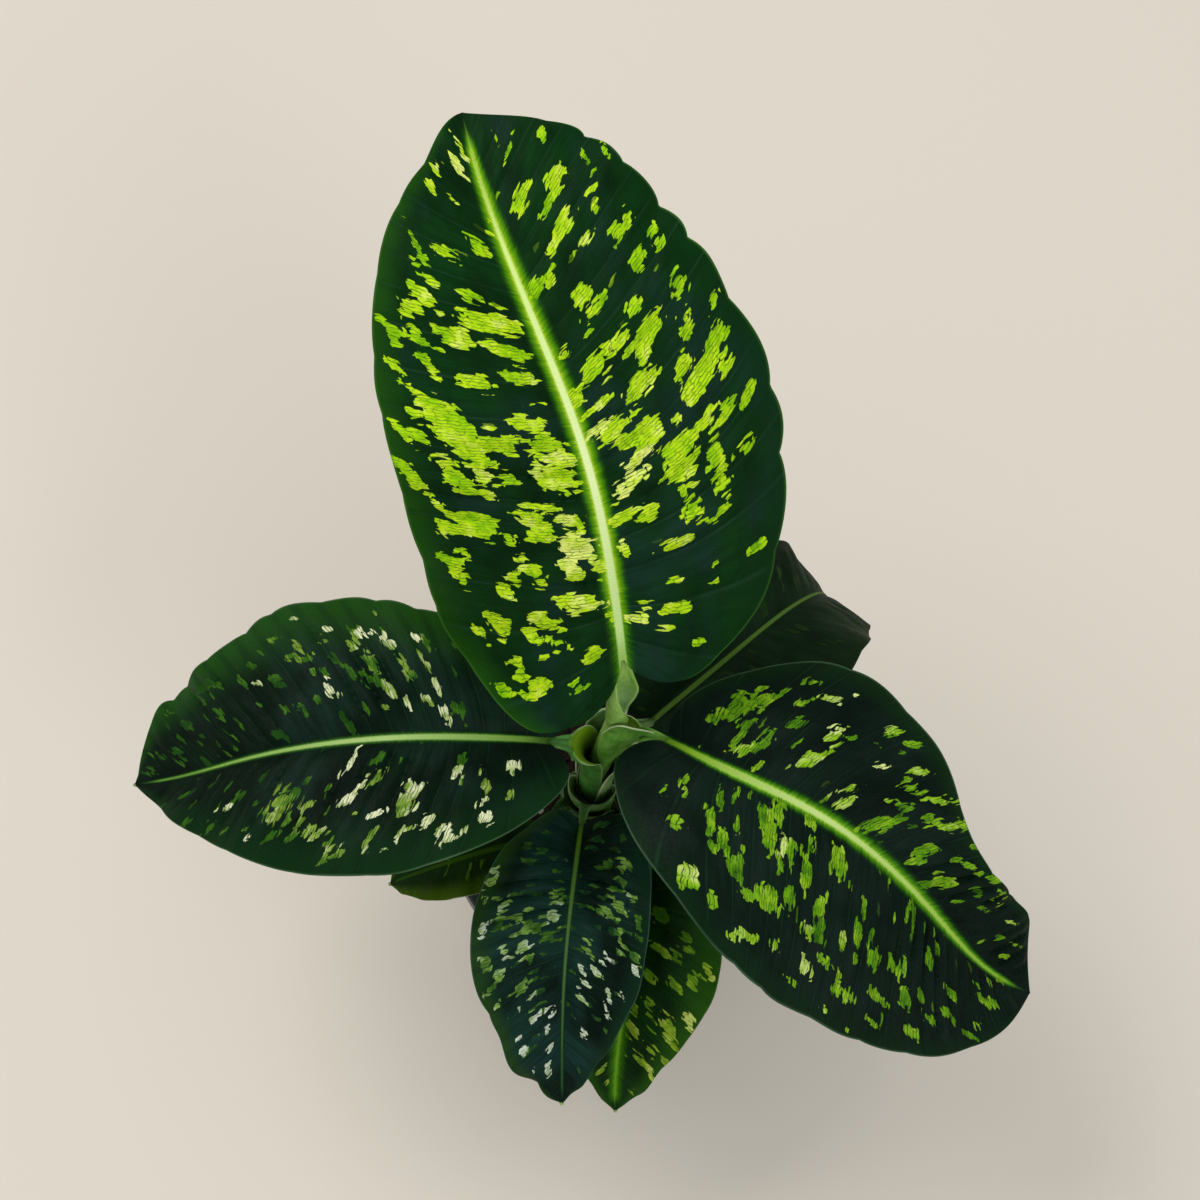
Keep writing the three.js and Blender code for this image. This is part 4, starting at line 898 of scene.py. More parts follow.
# Leaf margin: a thin translucent line, paler than the blade
def rimMaterial(name):
    material = newMaterial("leaf_margin_" + name)
    veins = addNode(material, "Attribute", {"attribute_name": "veins"}).outputs["Vector"]
    tint = addNode(material, "TexNoise", {"Scale": 0.12, "Detail": 3.0, "Vector": veins})
    colour = addNode(material, "MixRGB",
                     {"Fac": tint, "Color1": looks[name]["margins"][0], "Color2": looks[name]["rim"]})
    return finishMaterial(material, {"Roughness": 0.45, "Base Color": colour})


def nodeName(name):
    return "".join("_" + letter.lower() if letter.isupper() else letter for letter in name)


# The piece rides on the plant and stands for an imported node, which it hides.
def settle(piece, node=None):
    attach(piece, "root")
    if node:
        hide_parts(node)


bladeDetail = {
    "columns": 76,                 # on each side of the midrib
    "ribShare": 0.12,              # part of them on the midrib itself
    "pitch": 1.15,                 # length of a row
    "thickness": 0.9,
    "sway": (0.22, 15, 0.12),      # side veins: uneven steps, over this length, and shift between the halves
    "cushion": (0.7, 0.6),         # sharpness of the creases, a power, and the share that is sunk
    "cushionEnds": (7, 0.28, 0.1), # cushions fade out beside the midrib, at the margin and at the tip
    "crown": 0.55 / 3,             # height of the midrib's crown, as a share of its half width
    "valley": (0.5, 3),            # depth and half width of the valley on either side of it
    "rareOut": (0.5, 0.74, 0.2),   # small spots get rare towards the margin: how much, from where, over what
    "rareIn": (0.2, 4),            # and near the midrib
    "keel": (0.85, 0.2, 15, 1.35), # depth at the base and at the tip, where it sets in, its half width
}


# Swell of crossing waves: their directions and lengths
swells = ((0.9, 0.35, 17), (-0.4, 1.0, 13), (0.7, -0.8, 8.5), (1.0, 0.9, 5.5))


def rumple(x, y, seed):
    total = 0
    for k, (a, b, size) in enumerate(swells):
        total = total + size / 17 * np.sin((a * x + b * y) * 2 * math.pi / size / 1.6 + seed * (k + 1.7))
    return total / 2.3


# How far inside the nearest blotch a place lies, 1 for 6 mm, and that blotch's tone.
def blotchField(name, foot, out):
    level = np.full(len(foot), -1.0)
    tone = np.full(len(foot), looks[name]["dull"])
    grown = looks[name]["grow"]
    for at, distance, halfWide, halfLong, itsTone in blotches.get(name, ()):
        past = out - distance - 0.4 * (foot - at) * (out > 0)
        away = (np.abs((foot - at) / halfWide) ** 3 + np.abs(past / halfLong) ** 3) ** (1 / 3) / grown
        depth = np.clip((1 - away) * (math.sqrt(halfWide * halfLong) + 1.5) / 6, -1, 1)
        tone = np.where(depth > level, itsTone, tone)
        level = np.maximum(level, depth)
    return level, tone


def makeBlade(name):
    leaf, look, shape = leaves[name], looks[name], bladeDetail
    leaf["walk"] = walkMidrib(leaf)
    seed = list(leaves).index(name) + 1
    rows, ribShare = round(leaf["length"] / shape["pitch"]), shape["ribShare"]
    deselectAll()
    bpy.ops.mesh.primitive_grid_add(x_subdivisions=2 * shape["columns"], y_subdivisions=rows, size=2)
    piece = bpy.context.active_object
    piece.name = piece.data.name = "leaf_" + name
    grid = readPoints(piece)
    out = np.abs(grid[:, 0])
    row = (grid[:, 1] + 1) / 2
    side = np.where(grid[:, 0] > 0, -1.0, 1.0)
    reach = np.clip((out - ribShare) / (1 - ribShare), 0, 1)
    onRib = np.clip(out / ribShare, 0, 1)
    along, across, lift, ribHalf = bladePlace(leaf, side, row, reach)
    across = np.where(out < ribShare, side * ribHalf * onRib, across)
    foot, run = veinPlace(leaf, along, across)

    # cushions between the side veins, a crown along the midrib and a shallow valley on either side of it
    sway, length, shift = shape["sway"]
    turns = foot / leaf["veinStep"] + sway * np.sin(foot / length + seed) + shift * side
    ribDistance = np.abs(across) - ribHalf
    besideRib, atMargin, atTip = shape["cushionEnds"]
    envelope = (smooth(ribDistance / besideRib) * smooth((1 - reach) / atMargin)
                * smooth((1 - row) / atTip))
    patchy = np.clip(0.65 + 0.6 * rumple(foot / 2, run * side / 2.4, seed + 5), 0.15, 1.2)
    quilt = spline(leaf["quilt"], row) * patchy
    crease, sunk = shape["cushion"]
    lift = lift + quilt * (np.abs(np.sin(math.pi * turns)) ** crease - sunk) * envelope
    lift = lift + leaf["crumple"] * 0.35 * rumple(foot * 1.3, run * side * 0.55, seed) * envelope
    lift = lift + np.where(out < ribShare, shape["crown"] * ribHalf * np.cos(onRib * math.pi / 2), 0)
    depth, half = shape["valley"]
    lift = lift - depth * np.exp(-(ribDistance / half) ** 2) * smooth((1 - row) / 0.3)
    points = bladePoint(leaf, along, across, lift) / 1000
    placePoints(piece, points)

    # what the materials read
    fromRib = np.abs(across) - spline(look["ribHalf"], row)
    level, tone = blotchField(name, foot, run * side)
    small = np.where(side < 0, spline(look["field"]["right"], row), spline(look["field"]["left"], row))
    rarer, start, over = shape["rareOut"]
    small = small - rarer * smooth((reach - start) / over)
    rarer, over = shape["rareIn"]
    small = small - rarer * smooth((over - fromRib) / over)
    glow = np.clip(1 - fromRib / spline(look["glowWidth"], row), 0, 1) * smooth((1 - row) / 0.08)
    glow = glow * mix(0.6, 1, smooth(row / 0.16))
    writeAttribute(piece, "veins", foot, run * side, turns)
    writeAttribute(piece, "place", row, reach, fromRib)
    writeAttribute(piece, "field", np.maximum(level, small), glow, tone)

    normals = readNormals(piece)
    wall = piece.modifiers.new("wall", "SOLIDIFY")
    wall.thickness = shape["thickness"] / 1000
    wall.offset = -1
    wall.use_rim = True
    wall.material_offset = 1
    wall.material_offset_rim = 2
    for material in (bladeMaterial(name, seed), undersideMaterial(name, seed), rimMaterial(name)):
        piece.data.materials.append(material)
    applyModifiers(piece)

    # the midrib stands out below as a rounded keel, and thins out towards the tip
    atBase, atTip, setsIn, keelHalf = shape["keel"]
    solid = readPoints(piece)
    depth = mix(leaf["rib"][1] * atBase, atTip, np.sqrt(np.clip(along / leaf["length"], 0, 1)))
    depth = depth * smooth((along + 1) / setsIn)
    keel = depth * np.clip(1 - (across / (ribHalf * keelHalf)) ** 2, 0, 1)
    solid[len(points):] -= normals * keel[:, None] / 1000
    placePoints(piece, solid)
    onlySelect(piece)
    bpy.ops.object.mode_set(mode="EDIT")
    bpy.ops.mesh.select_all(action="SELECT")
    bpy.ops.mesh.remove_doubles(threshold=0.00002)
    bpy.ops.object.mode_set(mode="OBJECT")
    bpy.ops.object.shade_smooth_by_angle(angle=math.radians(50))
    node = "blade_" + nodeName(name)
    settle(piece, node)


for name in leaves:
    makeBlade(name)
print("blades ready")

# Stalks: each one's sheath is rolled round the stem and the younger stalks, and opens towards its rim

stemLine = {"from": 120, "step": 35, "x": (0, -1, -0.5, 3.5, 10), "y": (0, 4, 6, 9, 12)}

stalkShape = {
    "wall": 1, "gap": 0.45, "core": 4.6, "coreWall": 2.6,
    "around": 22,                  # steps round an arc
    "sheathRings": 30, "joinRings": 12, "freeRings": 26,
    "rise": 6, "keelRise": 2, "keelReach": 0.3, "leaving": 60, "pull": 0.4, "underFace": 1.8,
    "groove": (0.25, 0.5), "wrap": (105, 92),
    "thinning": 0.35, "wingWall": 0.7,
    # how it runs on into the blade: place along the midrib, share of its radius, how much deeper
    "into": ((3, 0.9, 0.1), (6, 0.75, 0.4), (9, 0.55, 0.8), (12, 0.35, 1.2)),
    "joinShrink": (1, 0.62, 0.36, 0.3, 0.28),    # wrap of the rings between sheath and stalk, as a share
    "grainPlane": 23, "wingGrainPlane": 9,       # the planes that the noise of the skin is cut at
    "fadeRings": 16, "fadeGrooveRings": 34,      # rings over which the pale edge fades out past the sheath
}


def stemCentre(z):
    at = (z - stemLine["from"]) / (stemLine["step"] * (len(stemLine["x"]) - 1))
    return np.array([float(spline(stemLine["x"], at)), float(spline(stemLine["y"], at)), z])


def sheathInner(order):
    return stalkShape["core"] + stalkShape["gap"] + (order - 1) * (stalkShape["wall"] + stalkShape["gap"])


# One cross-section: an open fold, thick at the keel. Its outer face runs from edge to edge and its inner face
# back again.
def foldRing(centre, keel, side, outer, inner, wrap, dip=0.0, thinning=0.0, near=1.0, spread=0.0):
    turn = np.linspace(-1, 1, stalkShape["around"] + 1)
    edge = np.abs(turn)
    thin = thinning * smooth((edge - 0.5) / 0.5)
    wide = spread * smooth(-turn)
    rows = []
    for radii, way, push in ((outer, turn, wide - thin), (inner, -turn, wide[::-1] + 0.6 * thin)):
        angle = np.radians(way * wrap) * np.where(way < 0, near, 1)
        rows.append(centre + np.outer((radii[0] + push) * np.cos(angle), keel)
                    + np.outer((radii[1] + push) * np.sin(angle), side)
                    - np.outer(dip * (0.5 + 0.5 * np.cos(angle)), up))
    return np.vstack(rows)


def bezier(points, f):
    a, b, c, d = points
    place = a * (1 - f) ** 3 + 3 * b * f * (1 - f) ** 2 + 3 * c * f * f * (1 - f) + d * f ** 3
    way = (b - a) * (1 - f) ** 2 + 2 * (c - b) * f * (1 - f) + (d - c) * f * f
    return place, unit(way)


def stalkRings(name):
    leaf, order = leaves[name], list(leaves).index(name)
    shape, sheath = stalkShape, leaf["sheath"]
    keel = heading(sheath["keel"])
    side = np.cross(up, keel)
    leaning = np.array([*sheath["lean"], 0.0])
    inner = shape["core"] - shape["coreWall"] if order == 0 else sheathInner(order)
    outer = shape["core"] if order == 0 else inner + shape["wall"]
    groove = leaf.get("groove", shape["groove"])

    def sheathRing(f, rise=0.0, left=1.0):
        opened = f ** 5
        thin = 1 - 0.75 * math.exp(-f / 0.04)   # the sheath starts thin where it is grown to the stem
        centre = stemCentre(mix(sheath["foot"], sheath["rim"], f)) + leaning * opened + up * rise
        return foldRing(centre, keel, side,
                        (mix(inner, outer, thin) + (sheath["flare"] + sheath["bulge"]) * opened,
                         mix(inner, outer, thin) + sheath["flare"] * opened),
                        (inner + sheath["flare"] * opened,) * 2, mix(*sheath["wrap"], f) * left,
                        sheath["dip"] * opened, shape["thinning"] * smooth((f - 0.55) / 0.3),
                        mix(1, sheath.get("near", 1.0), smooth((f - 0.3) / 0.4)))

    rimCentre = stemCentre(sheath["rim"]) + leaning
    start = rimCentre + up * (shape["rise"] - sheath["dip"])
    leaving = up
    if order > 0:
        start = start + keel * (inner + sheath["flare"] + shape["keelReach"] * leaf["stalk"][0])
        start = start + up * shape["keelRise"]
        leaving = heading(sheath["keel"], shape["leaving"])
    point, ahead, left, face = (v[0] for v in midribFrame(leaf, np.array([-0.3])))
    under = leaf.get("underFace", shape["underFace"])
    end = point - face * under
    pull = shape["pull"] * np.linalg.norm(end - start)
    path = (start, start + leaving * pull, end - ahead * pull, end)

    def freeRing(f):
        centre, forward = bezier(path, f)
        across = unit(mix(side, left, f))
        below = unit(np.cross(across, forward))
        radius = float(spline(leaf["stalk"], f))
        ending = smooth((f - 0.55) / 0.4)
        depth, half = mix(groove[0], -0.1, ending), mix(groove[1], shape["groove"][1], ending)
        return foldRing(centre, below, np.cross(forward, below), (radius, radius),
                        (depth * radius, half * radius), mix(*leaf.get("openWrap", shape["wrap"]), f),
                        spread=leaf.get("spread", 0.0) * smooth(f / 0.3) * (1 - ending))

    rings = [sheathRing(f) for f in np.linspace(0, 1, shape["sheathRings"] + 1)]
    for t in np.linspace(0, 1, shape["joinRings"] + 2)[1:-1]:
        blendIn = smooth((t - 0.25) / 0.75)
        shrink = float(spline(shape["joinShrink"], t)) if order > 0 else 1.0
        rings.append(mix(sheathRing(1, 8 * t if order > 0 else 6 * t, shrink), freeRing(0), blendIn))
    rings += [freeRing(f) for f in np.linspace(0, 1, shape["freeRings"] + 1)]
    # the stalk runs on into the midrib's keel
    for along, radius, deeper in shape["into"]:
        point, ahead, left, face = (v[0] for v in midribFrame(leaf, np.array([along])))
        size = leaf["stalk"][-1] * radius
        rings.append(foldRing(point - face * (under + deeper), -face, np.cross(ahead, -face), (size, size),
                              (-0.1 * size, 0.5 * size), shape["wrap"][1]))
    return np.array(rings)


# Stalk: smooth waxy stem tissue, jade green with fine lengthwise lines, and a pale dry margin. The two greens
# of its flesh, then the colours of its edge and of its inner face.
# inner faces are yellower, and painted light: a pale painted highlight in the newest, painted light in the
# left one's shaded cup
stalkLooks = {
    "newest": ("#7aac42", "#a0ca6a", "#e4eec8", "#bcd8a4"),
    "right": ("#4c862a", "#72a648", "#c0d6a0", "#7ca030"),
    "left": ("#34682a", "#54903c", "#9cb880", "#8cb42a"),
    "back": ("#648e50", "#86ae6e", "#c0d09c", "#809c48"),
    "front": ("#365e26", "#52803e", "#98ac88", "#5a7c2c"),
    "lowLeft": ("#24481a", "#385c24", "#6c8858", "#3f5a20"),
    "lowFront": ("#244818", "#385c22", "#6c8858", "#3f5a20"),
}


def stalkMaterial(name):
    dark, light, edgeColour, insideAndPaintedLight = stalkLooks[name]
    material = newMaterial("waxy_stalk_" + name)
    # fold: way round and height. skin: X nearness to the edge, Y inner face, Z nearness to the blade.
    fold, skin = (addNode(material, "Attribute", {"attribute_name": each}).outputs["Vector"]
                  for each in ("fold", "skin"))
    parts = addNode(material, "SeparateXYZ", {0: skin})
    # lengthwise lines about 0.8 mm apart
    stretched = addNode(material, "VectorMath", {"operation": "MULTIPLY", 0: fold, 1: (1.3, 0.06, 1.0)})
    lines = addNode(material, "TexNoise", {"Scale": 1.0, "Detail": 3.0, "Vector": stretched})
    mottle = addNode(material, "TexNoise", {"Scale": 0.16, "Detail": 3.0, "Vector": fold})
    mixed = addNode(material, "Math", {"operation": "MULTIPLY_ADD", 0: lines, 1: 0.5, 2: mottle})
    spread = addNode(material, "MapRange", {"range": (0.55, 0.95), "Value": mixed})
    flesh = addNode(material, "MixRGB", {"Fac": spread, "Color1": dark, "Color2": light})
    edge = addNode(material, "MapRange",
                   {"interpolation_type": "SMOOTHSTEP", "range": (0.9, 0.99, 0.0, 0.9),
                    "Value": parts.outputs["X"]})
    # yellower inside, with painted light on the inner face, pale along the edge, and of the midrib's colour
    # where it runs into the blade
    colour = flesh
    for share, layer in ((parts.outputs["Y"], insideAndPaintedLight), (edge, edgeColour),
                         (parts.outputs["Z"], looks[name]["rib"][0])):
        colour = addNode(material, "MixRGB", {"Fac": share, "Color1": colour, "Color2": layer})
    return finishMaterial(material,
                          {"IOR": 1.45, "Roughness": 0.26, "Specular IOR Level": 0.25, "Base Color": colour},
                          (lines, 0.0002))


# The near wing of a sheath, drawn up high and wrapped over the younger stalk.
def makeWing(name):
    wing = leaves[name]["wing"]
    deselectAll()
    bpy.ops.mesh.primitive_grid_add(x_subdivisions=40, y_subdivisions=48, size=2)
    piece = bpy.context.active_object
    grid = (readPoints(piece)[:, :2] + 1) / 2
    way, rise = grid[:, 0], grid[:, 1]
    height = mix(wing["foot"], spline(wing["top"], way), rise)
    centres = np.array([stemCentre(z) for z in height])
    curl = 0.7 * smooth((rise - 0.95) / 0.05)
    ripple = 0.3 * np.sin(5 * way + 4 * rise) * smooth(rise / 0.2)
    out = mix(spline(wing["radius"], rise), spline(wing["rim"], way), rise ** 1.6) + curl + ripple
    points = centres + heading(mix(spline(wing["from"], rise), wing["to"], way)) * out[:, None]
    placePoints(piece, points / 1000)
    writeAttribute(piece, "fold", way * 22, height, np.full(len(way), stalkShape["wingGrainPlane"]))
    edge = np.maximum(1 - (1 - rise) * 4, 1 - way * 5)
    writeAttribute(piece, "skin", np.clip(edge, 0, 1), rise * 0, rise * 0)
    wall = piece.modifiers.new("wall", "SOLIDIFY")
    wall.thickness = stalkShape["wingWall"] / 1000
    wall.offset = -1
    applyModifiers(piece)
    return piece


# No primitive has the section of a rolled sheath, so its faces are laid from ring to ring, with both ends
# closed.
def makeStalk(name):
    rings = stalkRings(name)
    count, size = rings.shape[:2]
    half, last = size // 2, (count - 1) * size
    faces = []
    for r in range(0, last, size):
        for k in range(size):
            after = (k + 1) % size
            faces.append((r + k, r + after, r + size + after, r + size + k))
    for k in range(half - 1):
        a, b, c, d = k, k + 1, size - 2 - k, size - 1 - k
        faces.append((a, d, c, b))
        faces.append((last + a, last + b, last + c, last + d))
    mesh = bpy.data.meshes.new("stalk_" + name)
    mesh.from_pydata((rings.reshape(-1, 3) / 1000).tolist(), [], faces)
    piece = bpy.data.objects.new("stalk_" + name, mesh)
    bpy.context.scene.collection.objects.link(piece)

    turn = np.concatenate([np.linspace(-1, 1, half), np.linspace(1, -1, half)])
    steps = np.linalg.norm(np.diff(rings[:, half // 2], axis=0), axis=1)
    height = np.concatenate([[0], np.cumsum(steps)])
    inside = np.concatenate([np.zeros(half), np.ones(half)])
    writeAttribute(piece, "fold", np.tile(turn * 16, count), np.repeat(height, size),
                   np.full(count * size, stalkShape["grainPlane"]))
    # past the sheath the edge is the rounded rim of a groove, so its pale line fades out
    fadeRings = stalkShape["fadeGrooveRings" if "groove" in leaves[name] else "fadeRings"]
    sheathShare = np.repeat(1 - smooth((np.arange(count) - stalkShape["sheathRings"]) / fadeRings), size)
    ending = np.repeat(smooth((height - height[-1] + 24) / 16), size)
    writeAttribute(piece, "skin", np.tile(np.abs(turn), count) * mix(0.55, 1, sheathShare),
                   np.tile(inside, count) * sheathShare, ending)
    piece.data.materials.append(stalkMaterial(name))
    soft = piece.modifiers.new("soft", "SUBSURF")
    soft.levels = soft.render_levels = 1
    applyModifiers(piece)
    if "wing" in leaves[name]:
        wing = makeWing(name)
        wing.data.materials.append(piece.data.materials[0])
        onlySelect(piece)
        wing.select_set(True)
        bpy.ops.object.join()
    bpy.ops.object.shade_smooth()
    node = "petiole_" + nodeName(name)
    settle(piece, node)


for name in leaves:
    makeStalk(name)
print("stalks ready")


# A ring of points is laid along a closed profile of [radius, height] and spun about the upright axis.
def spinProfile(name, profile, steps):
    deselectAll()
    bpy.ops.mesh.primitive_circle_add(vertices=len(profile), radius=1, fill_type="NOTHING")
    piece = bpy.context.active_object
    piece.name = piece.data.name = name
    placePoints(piece, [(radius / 1000, 0, height / 1000) for radius, height in profile])
    onlySelect(piece)
    bpy.ops.object.mode_set(mode="EDIT")
    bpy.ops.mesh.select_all(action="SELECT")
    bpy.ops.mesh.spin(steps=steps, angle=2 * math.pi, center=(0, 0, 0), axis=(0, 0, 1))
    bpy.ops.mesh.select_all(action="SELECT")
    bpy.ops.mesh.remove_doubles(threshold=0.00001)
    bpy.ops.mesh.normals_make_consistent(inside=False)
    bpy.ops.object.mode_set(mode="OBJECT")
    return piece


# Stem: a fleshy green cane. Scars of old leaves ring it, and it steps in where each sheath stands on it.

stem = {
    "radius": 12.5, "bottom": 72.3, "scars": (120, 125.5), "ringHeight": 0.7, "ringHalf": 1.5,
    "top": 186, "steps": 72, "bareTo": 130,
    "skin": ("#56662f", "#7c8c4a"), "scar": "#9a8f66",
}


def stemMaterial():
    # cane: green skin gone slightly corky, with pale dry ring scars and fine lengthwise cracks
    material = newMaterial("green_cane")
    at = addNode(material, "TexCoord").outputs["Object"]
    stretched = addNode(material, "VectorMath", {"operation": "MULTIPLY", 0: at, 1: (1, 1, 0.25)})
    streaks = addNode(material, "TexNoise", {"Scale": 900.0, "Detail": 4.0, "Vector": stretched})
    clouds = addNode(material, "TexNoise", {"Scale": 160.0, "Detail": 3.0, "Vector": at})
    both = addNode(material, "Math", {"operation": "MULTIPLY_ADD", 0: streaks, 1: 0.5, 2: clouds})
    spread = addNode(material, "MapRange", {"range": (0.5, 0.95), "Value": both})
    skin = addNode(material, "MixRGB",
                   {"Fac": spread, "Color1": stem["skin"][0], "Color2": stem["skin"][1]})
    ringed = addNode(material, "Attribute", {"attribute_name": "scar"})
    colour = addNode(material, "MixRGB",
                     {"Fac": ringed.outputs["Fac"], "Color1": skin, "Color2": stem["scar"]})
    return finishMaterial(material, {"Roughness": 0.55, "Base Color": colour}, (streaks, 0.0004))


def makeStem():
    shape = stalkShape
    bottom, radius = stem["bottom"], stem["radius"]
    profile = [(0, bottom), (radius - 2, bottom), (radius, bottom + 2)]
    profile += [(radius, z) for z in (90, 105, 112)]
    for height in stem["scars"]:
        for f in np.linspace(-1, 1, 9):
            profile.append((radius + stem["ringHeight"] * math.cos(f * math.pi / 2) ** 2,
                            height + f * stem["ringHalf"]))
    for order in range(len(leaves) - 1, 0, -1):
        foot = list(leaves.values())[order]["sheath"]["foot"] - shape["gap"]
        profile.append((sheathInner(order) + shape["wall"] - 0.1, foot))
        profile.append((sheathInner(order) - shape["gap"], foot + 0.4))
    profile += [(shape["core"] - 1, stem["top"]), (0, stem["top"] + 1.5)]
    piece = spinProfile("cane", profile, stem["steps"])
    points = readPoints(piece) * 1000
    scar = np.zeros(len(points))
    for height in stem["scars"]:
        scar = np.maximum(scar, smooth(1.3 - np.abs(points[:, 2] - height) / stem["ringHalf"]))
    # the bare cane is a little out of round
    angle = np.arctan2(points[:, 1], points[:, 0])
    swell = 0.25 * np.sin(3 * angle + points[:, 2] / 9) + 0.15 * np.sin(7 * angle - points[:, 2] / 4)
    out = np.hypot(points[:, 0], points[:, 1])
    grow = 1 + np.where(out > 1, swell / np.maximum(out, 1), 0) * (points[:, 2] < stem["bareTo"])
    points[:, :2] *= grow[:, None]
    centres = np.array([stemCentre(z) for z in points[:, 2]])
    points[:, :2] += centres[:, :2]
    placePoints(piece, points / 1000)
    writeAttribute(piece, "scar", *3 * [scar * 0.8])
    piece.data.materials.append(stemMaterial())
    onlySelect(piece)
    bpy.ops.object.shade_smooth_by_angle(angle=math.radians(50))
    settle(piece, "stem")


makeStem()
print("stem ready")

# Pot: an injection-moulded nursery pot, tapered, with a thicker band at the rim and a recessed underside

pot = {
    "height": 125, "rimRadius": 75, "rimBand": 17, "rimStep": 2.4, "footRadius": 53, "wall": 2.4,
    "floor": 3, "recess": 2, "hubRadius": 18, "footRing": 6, "edge": 0.8,
    "holes": 8, "holeRadius": 4, "holeCircle": 32,
    "bead": 0.5,                   # half round bead under the band
    "steps": 144,
    "plastic": ("#1d2129", "#272c36"), "dust": "#4b4a47",
}


def potOuter(z):
    return mix(pot["footRadius"], pot["rimRadius"] - pot["rimStep"], z / pot["height"])


def potInner(z):
    return potOuter(z) - pot["wall"]


def potMaterial():
    # polypropylene, injection moulded: dark blue-black with a fine eggshell gloss, dusty near rim and foot
    material = newMaterial("polypropylene")
    at = addNode(material, "TexCoord").outputs["Object"]
    place = addNode(material, "SeparateXYZ", {0: at})
    cloud = addNode(material, "TexNoise", {"Scale": 45.0, "Detail": 4.0, "Vector": at})
    base = addNode(material, "MixRGB",
                   {"Fac": cloud, "Color1": pot["plastic"][0], "Color2": pot["plastic"][1]})
    speck = addNode(material, "TexNoise", {"Scale": 620.0, "Detail": 3.0, "Vector": at})
    high = addNode(material, "MapRange", {"range": (0.09, 0.125, 0.0, 0.2), "Value": place.outputs["Z"]})
    low = addNode(material, "MapRange", {"range": (0.0, 0.03, 0.22, 0.06), "Value": place.outputs["Z"]})
    where = addNode(material, "Math", {"operation": "MAXIMUM", 0: high, 1: low})
    dusty = addNode(material, "Math", {"operation": "ADD", 0: speck, 1: where})
    dust = addNode(material, "MapRange", {"range": (0.66, 0.86, 0.0, 0.7), "Value": dusty})
    colour = addNode(material, "MixRGB", {"Fac": dust, "Color1": base, "Color2": pot["dust"]})
    grain = addNode(material, "TexNoise", {"Scale": 1800.0, "Detail": 2.0, "Vector": at})
    rough = addNode(material, "MapRange", {"range": (0.0, 1.0, 0.38, 0.8), "Value": dust})
    return finishMaterial(material, {"IOR": 1.49, "Base Color": colour, "Roughness": rough},
                          (grain, 0.00006))


def makePot():
    band, edge = pot["height"] - pot["rimBand"], pot["edge"]
    floorTop = pot["recess"] + pot["floor"]
    profile = [
        (0, 0), (pot["hubRadius"], 0), (pot["hubRadius"] + pot["recess"], pot["recess"]),
        (pot["footRadius"] - pot["footRing"] - pot["recess"], pot["recess"]),
        (pot["footRadius"] - pot["footRing"], 0), (pot["footRadius"] - edge, 0), (potOuter(edge), edge),
        (potOuter(7), 7), (potOuter(7.6) - 0.5, 7.6), (potOuter(40) - 0.5, 40), (potOuter(72) - 0.5, 72),
        (potOuter(band - 4), band - 4)]
    for f in np.linspace(-1, 1, 7):
        profile.append((potOuter(band - 2.5) + pot["bead"] * math.cos(f * math.pi / 2), band - 2.5 + f))
    profile += [
        (potOuter(band), band), (pot["rimRadius"] - edge, band + edge * 0.4),
        (pot["rimRadius"], band + edge * 1.6),
        (pot["rimRadius"] - 0.3, band + 8), (pot["rimRadius"], pot["height"] - 2.2),
        (pot["rimRadius"], pot["height"] - edge), (pot["rimRadius"] - edge, pot["height"]),
        (potInner(pot["height"]) + edge, pot["height"]), (potInner(pot["height"]), pot["height"] - edge),
        (potInner(60), 60), (potInner(floorTop), floorTop), (0, floorTop)]
    piece = spinProfile("nursery_pot", profile, pot["steps"])
    deselectAll()
    cutters = []
    for k in range(pot["holes"]):
        angle, circle = k * 2 * math.pi / pot["holes"], pot["holeCircle"] / 1000
        bpy.ops.mesh.primitive_cylinder_add(
            vertices=32, radius=pot["holeRadius"] / 1000, depth=0.012,
            location=(circle * math.cos(angle), circle * math.sin(angle), 0.005))
        cutters.append(bpy.context.active_object)
    for cutter in cutters:
        cutter.select_set(True)
    bpy.ops.object.join()
    drill = bpy.context.active_object
    holes = piece.modifiers.new("holes", "BOOLEAN")
    holes.operation = "DIFFERENCE"
    holes.object = drill
    holes.solver = "EXACT"
    soften = piece.modifiers.new("soften", "BEVEL")
    soften.width = 0.0003
    soften.segments = 2
    soften.limit_method = "ANGLE"
    soften.angle_limit = math.radians(35)
    applyModifiers(piece)
    bpy.data.objects.remove(drill)
    piece.data.materials.clear()
    piece.data.materials.append(potMaterial())
    onlySelect(piece)
    bpy.ops.object.shade_smooth_by_angle(angle=math.radians(30))
    settle(piece, "pot")


makePot()
print("pot ready")

# Potting mix: peat with bark chips and grains of perlite, lumpy and a little higher round the stem

soil = {
    "surface": 114, "crown": 3, "lump": 0.8, "holeDepth": 42, "steps": 132, "rings": 44,
    # peat and bark colours: the dark of a moist mix, darkened further as painted shade for the deep shade
    # under the leaves
    "peat": ("#080504", "#150e09", "#2c2016"),
    "bark": {"count": 130, "size": (3.0, 9.0), "colours": ("#0b0705", "#1f140c", "#3d2b1b")},
    "perlite": {"count": 120, "size": (0.8, 2.1), "colours": ("#a8a293", "#ded9cc")},
}


def soilHeight(x, y):
    radius = np.hypot(x, y)
    reach = potInner(soil["surface"])
    out = np.clip((radius - stem["radius"]) / (reach - stem["radius"]), 0, 1)
    rise = soil["crown"] * (1 - out) ** 1.2
    lumps = soil["lump"] * np.sin(0.31 * x + 1) * np.cos(0.27 * y)
    small = 0.45 * np.sin(0.9 * x + 0.6 * y + 2) * np.sin(1.1 * y - 0.5 * x)
    crumbs = 0.25 * np.sin(2.1 * x) * np.sin(2.4 * y + 1)
    return soil["surface"] + rise + (lumps + (small + crumbs)) * smooth((reach - radius) / 4)


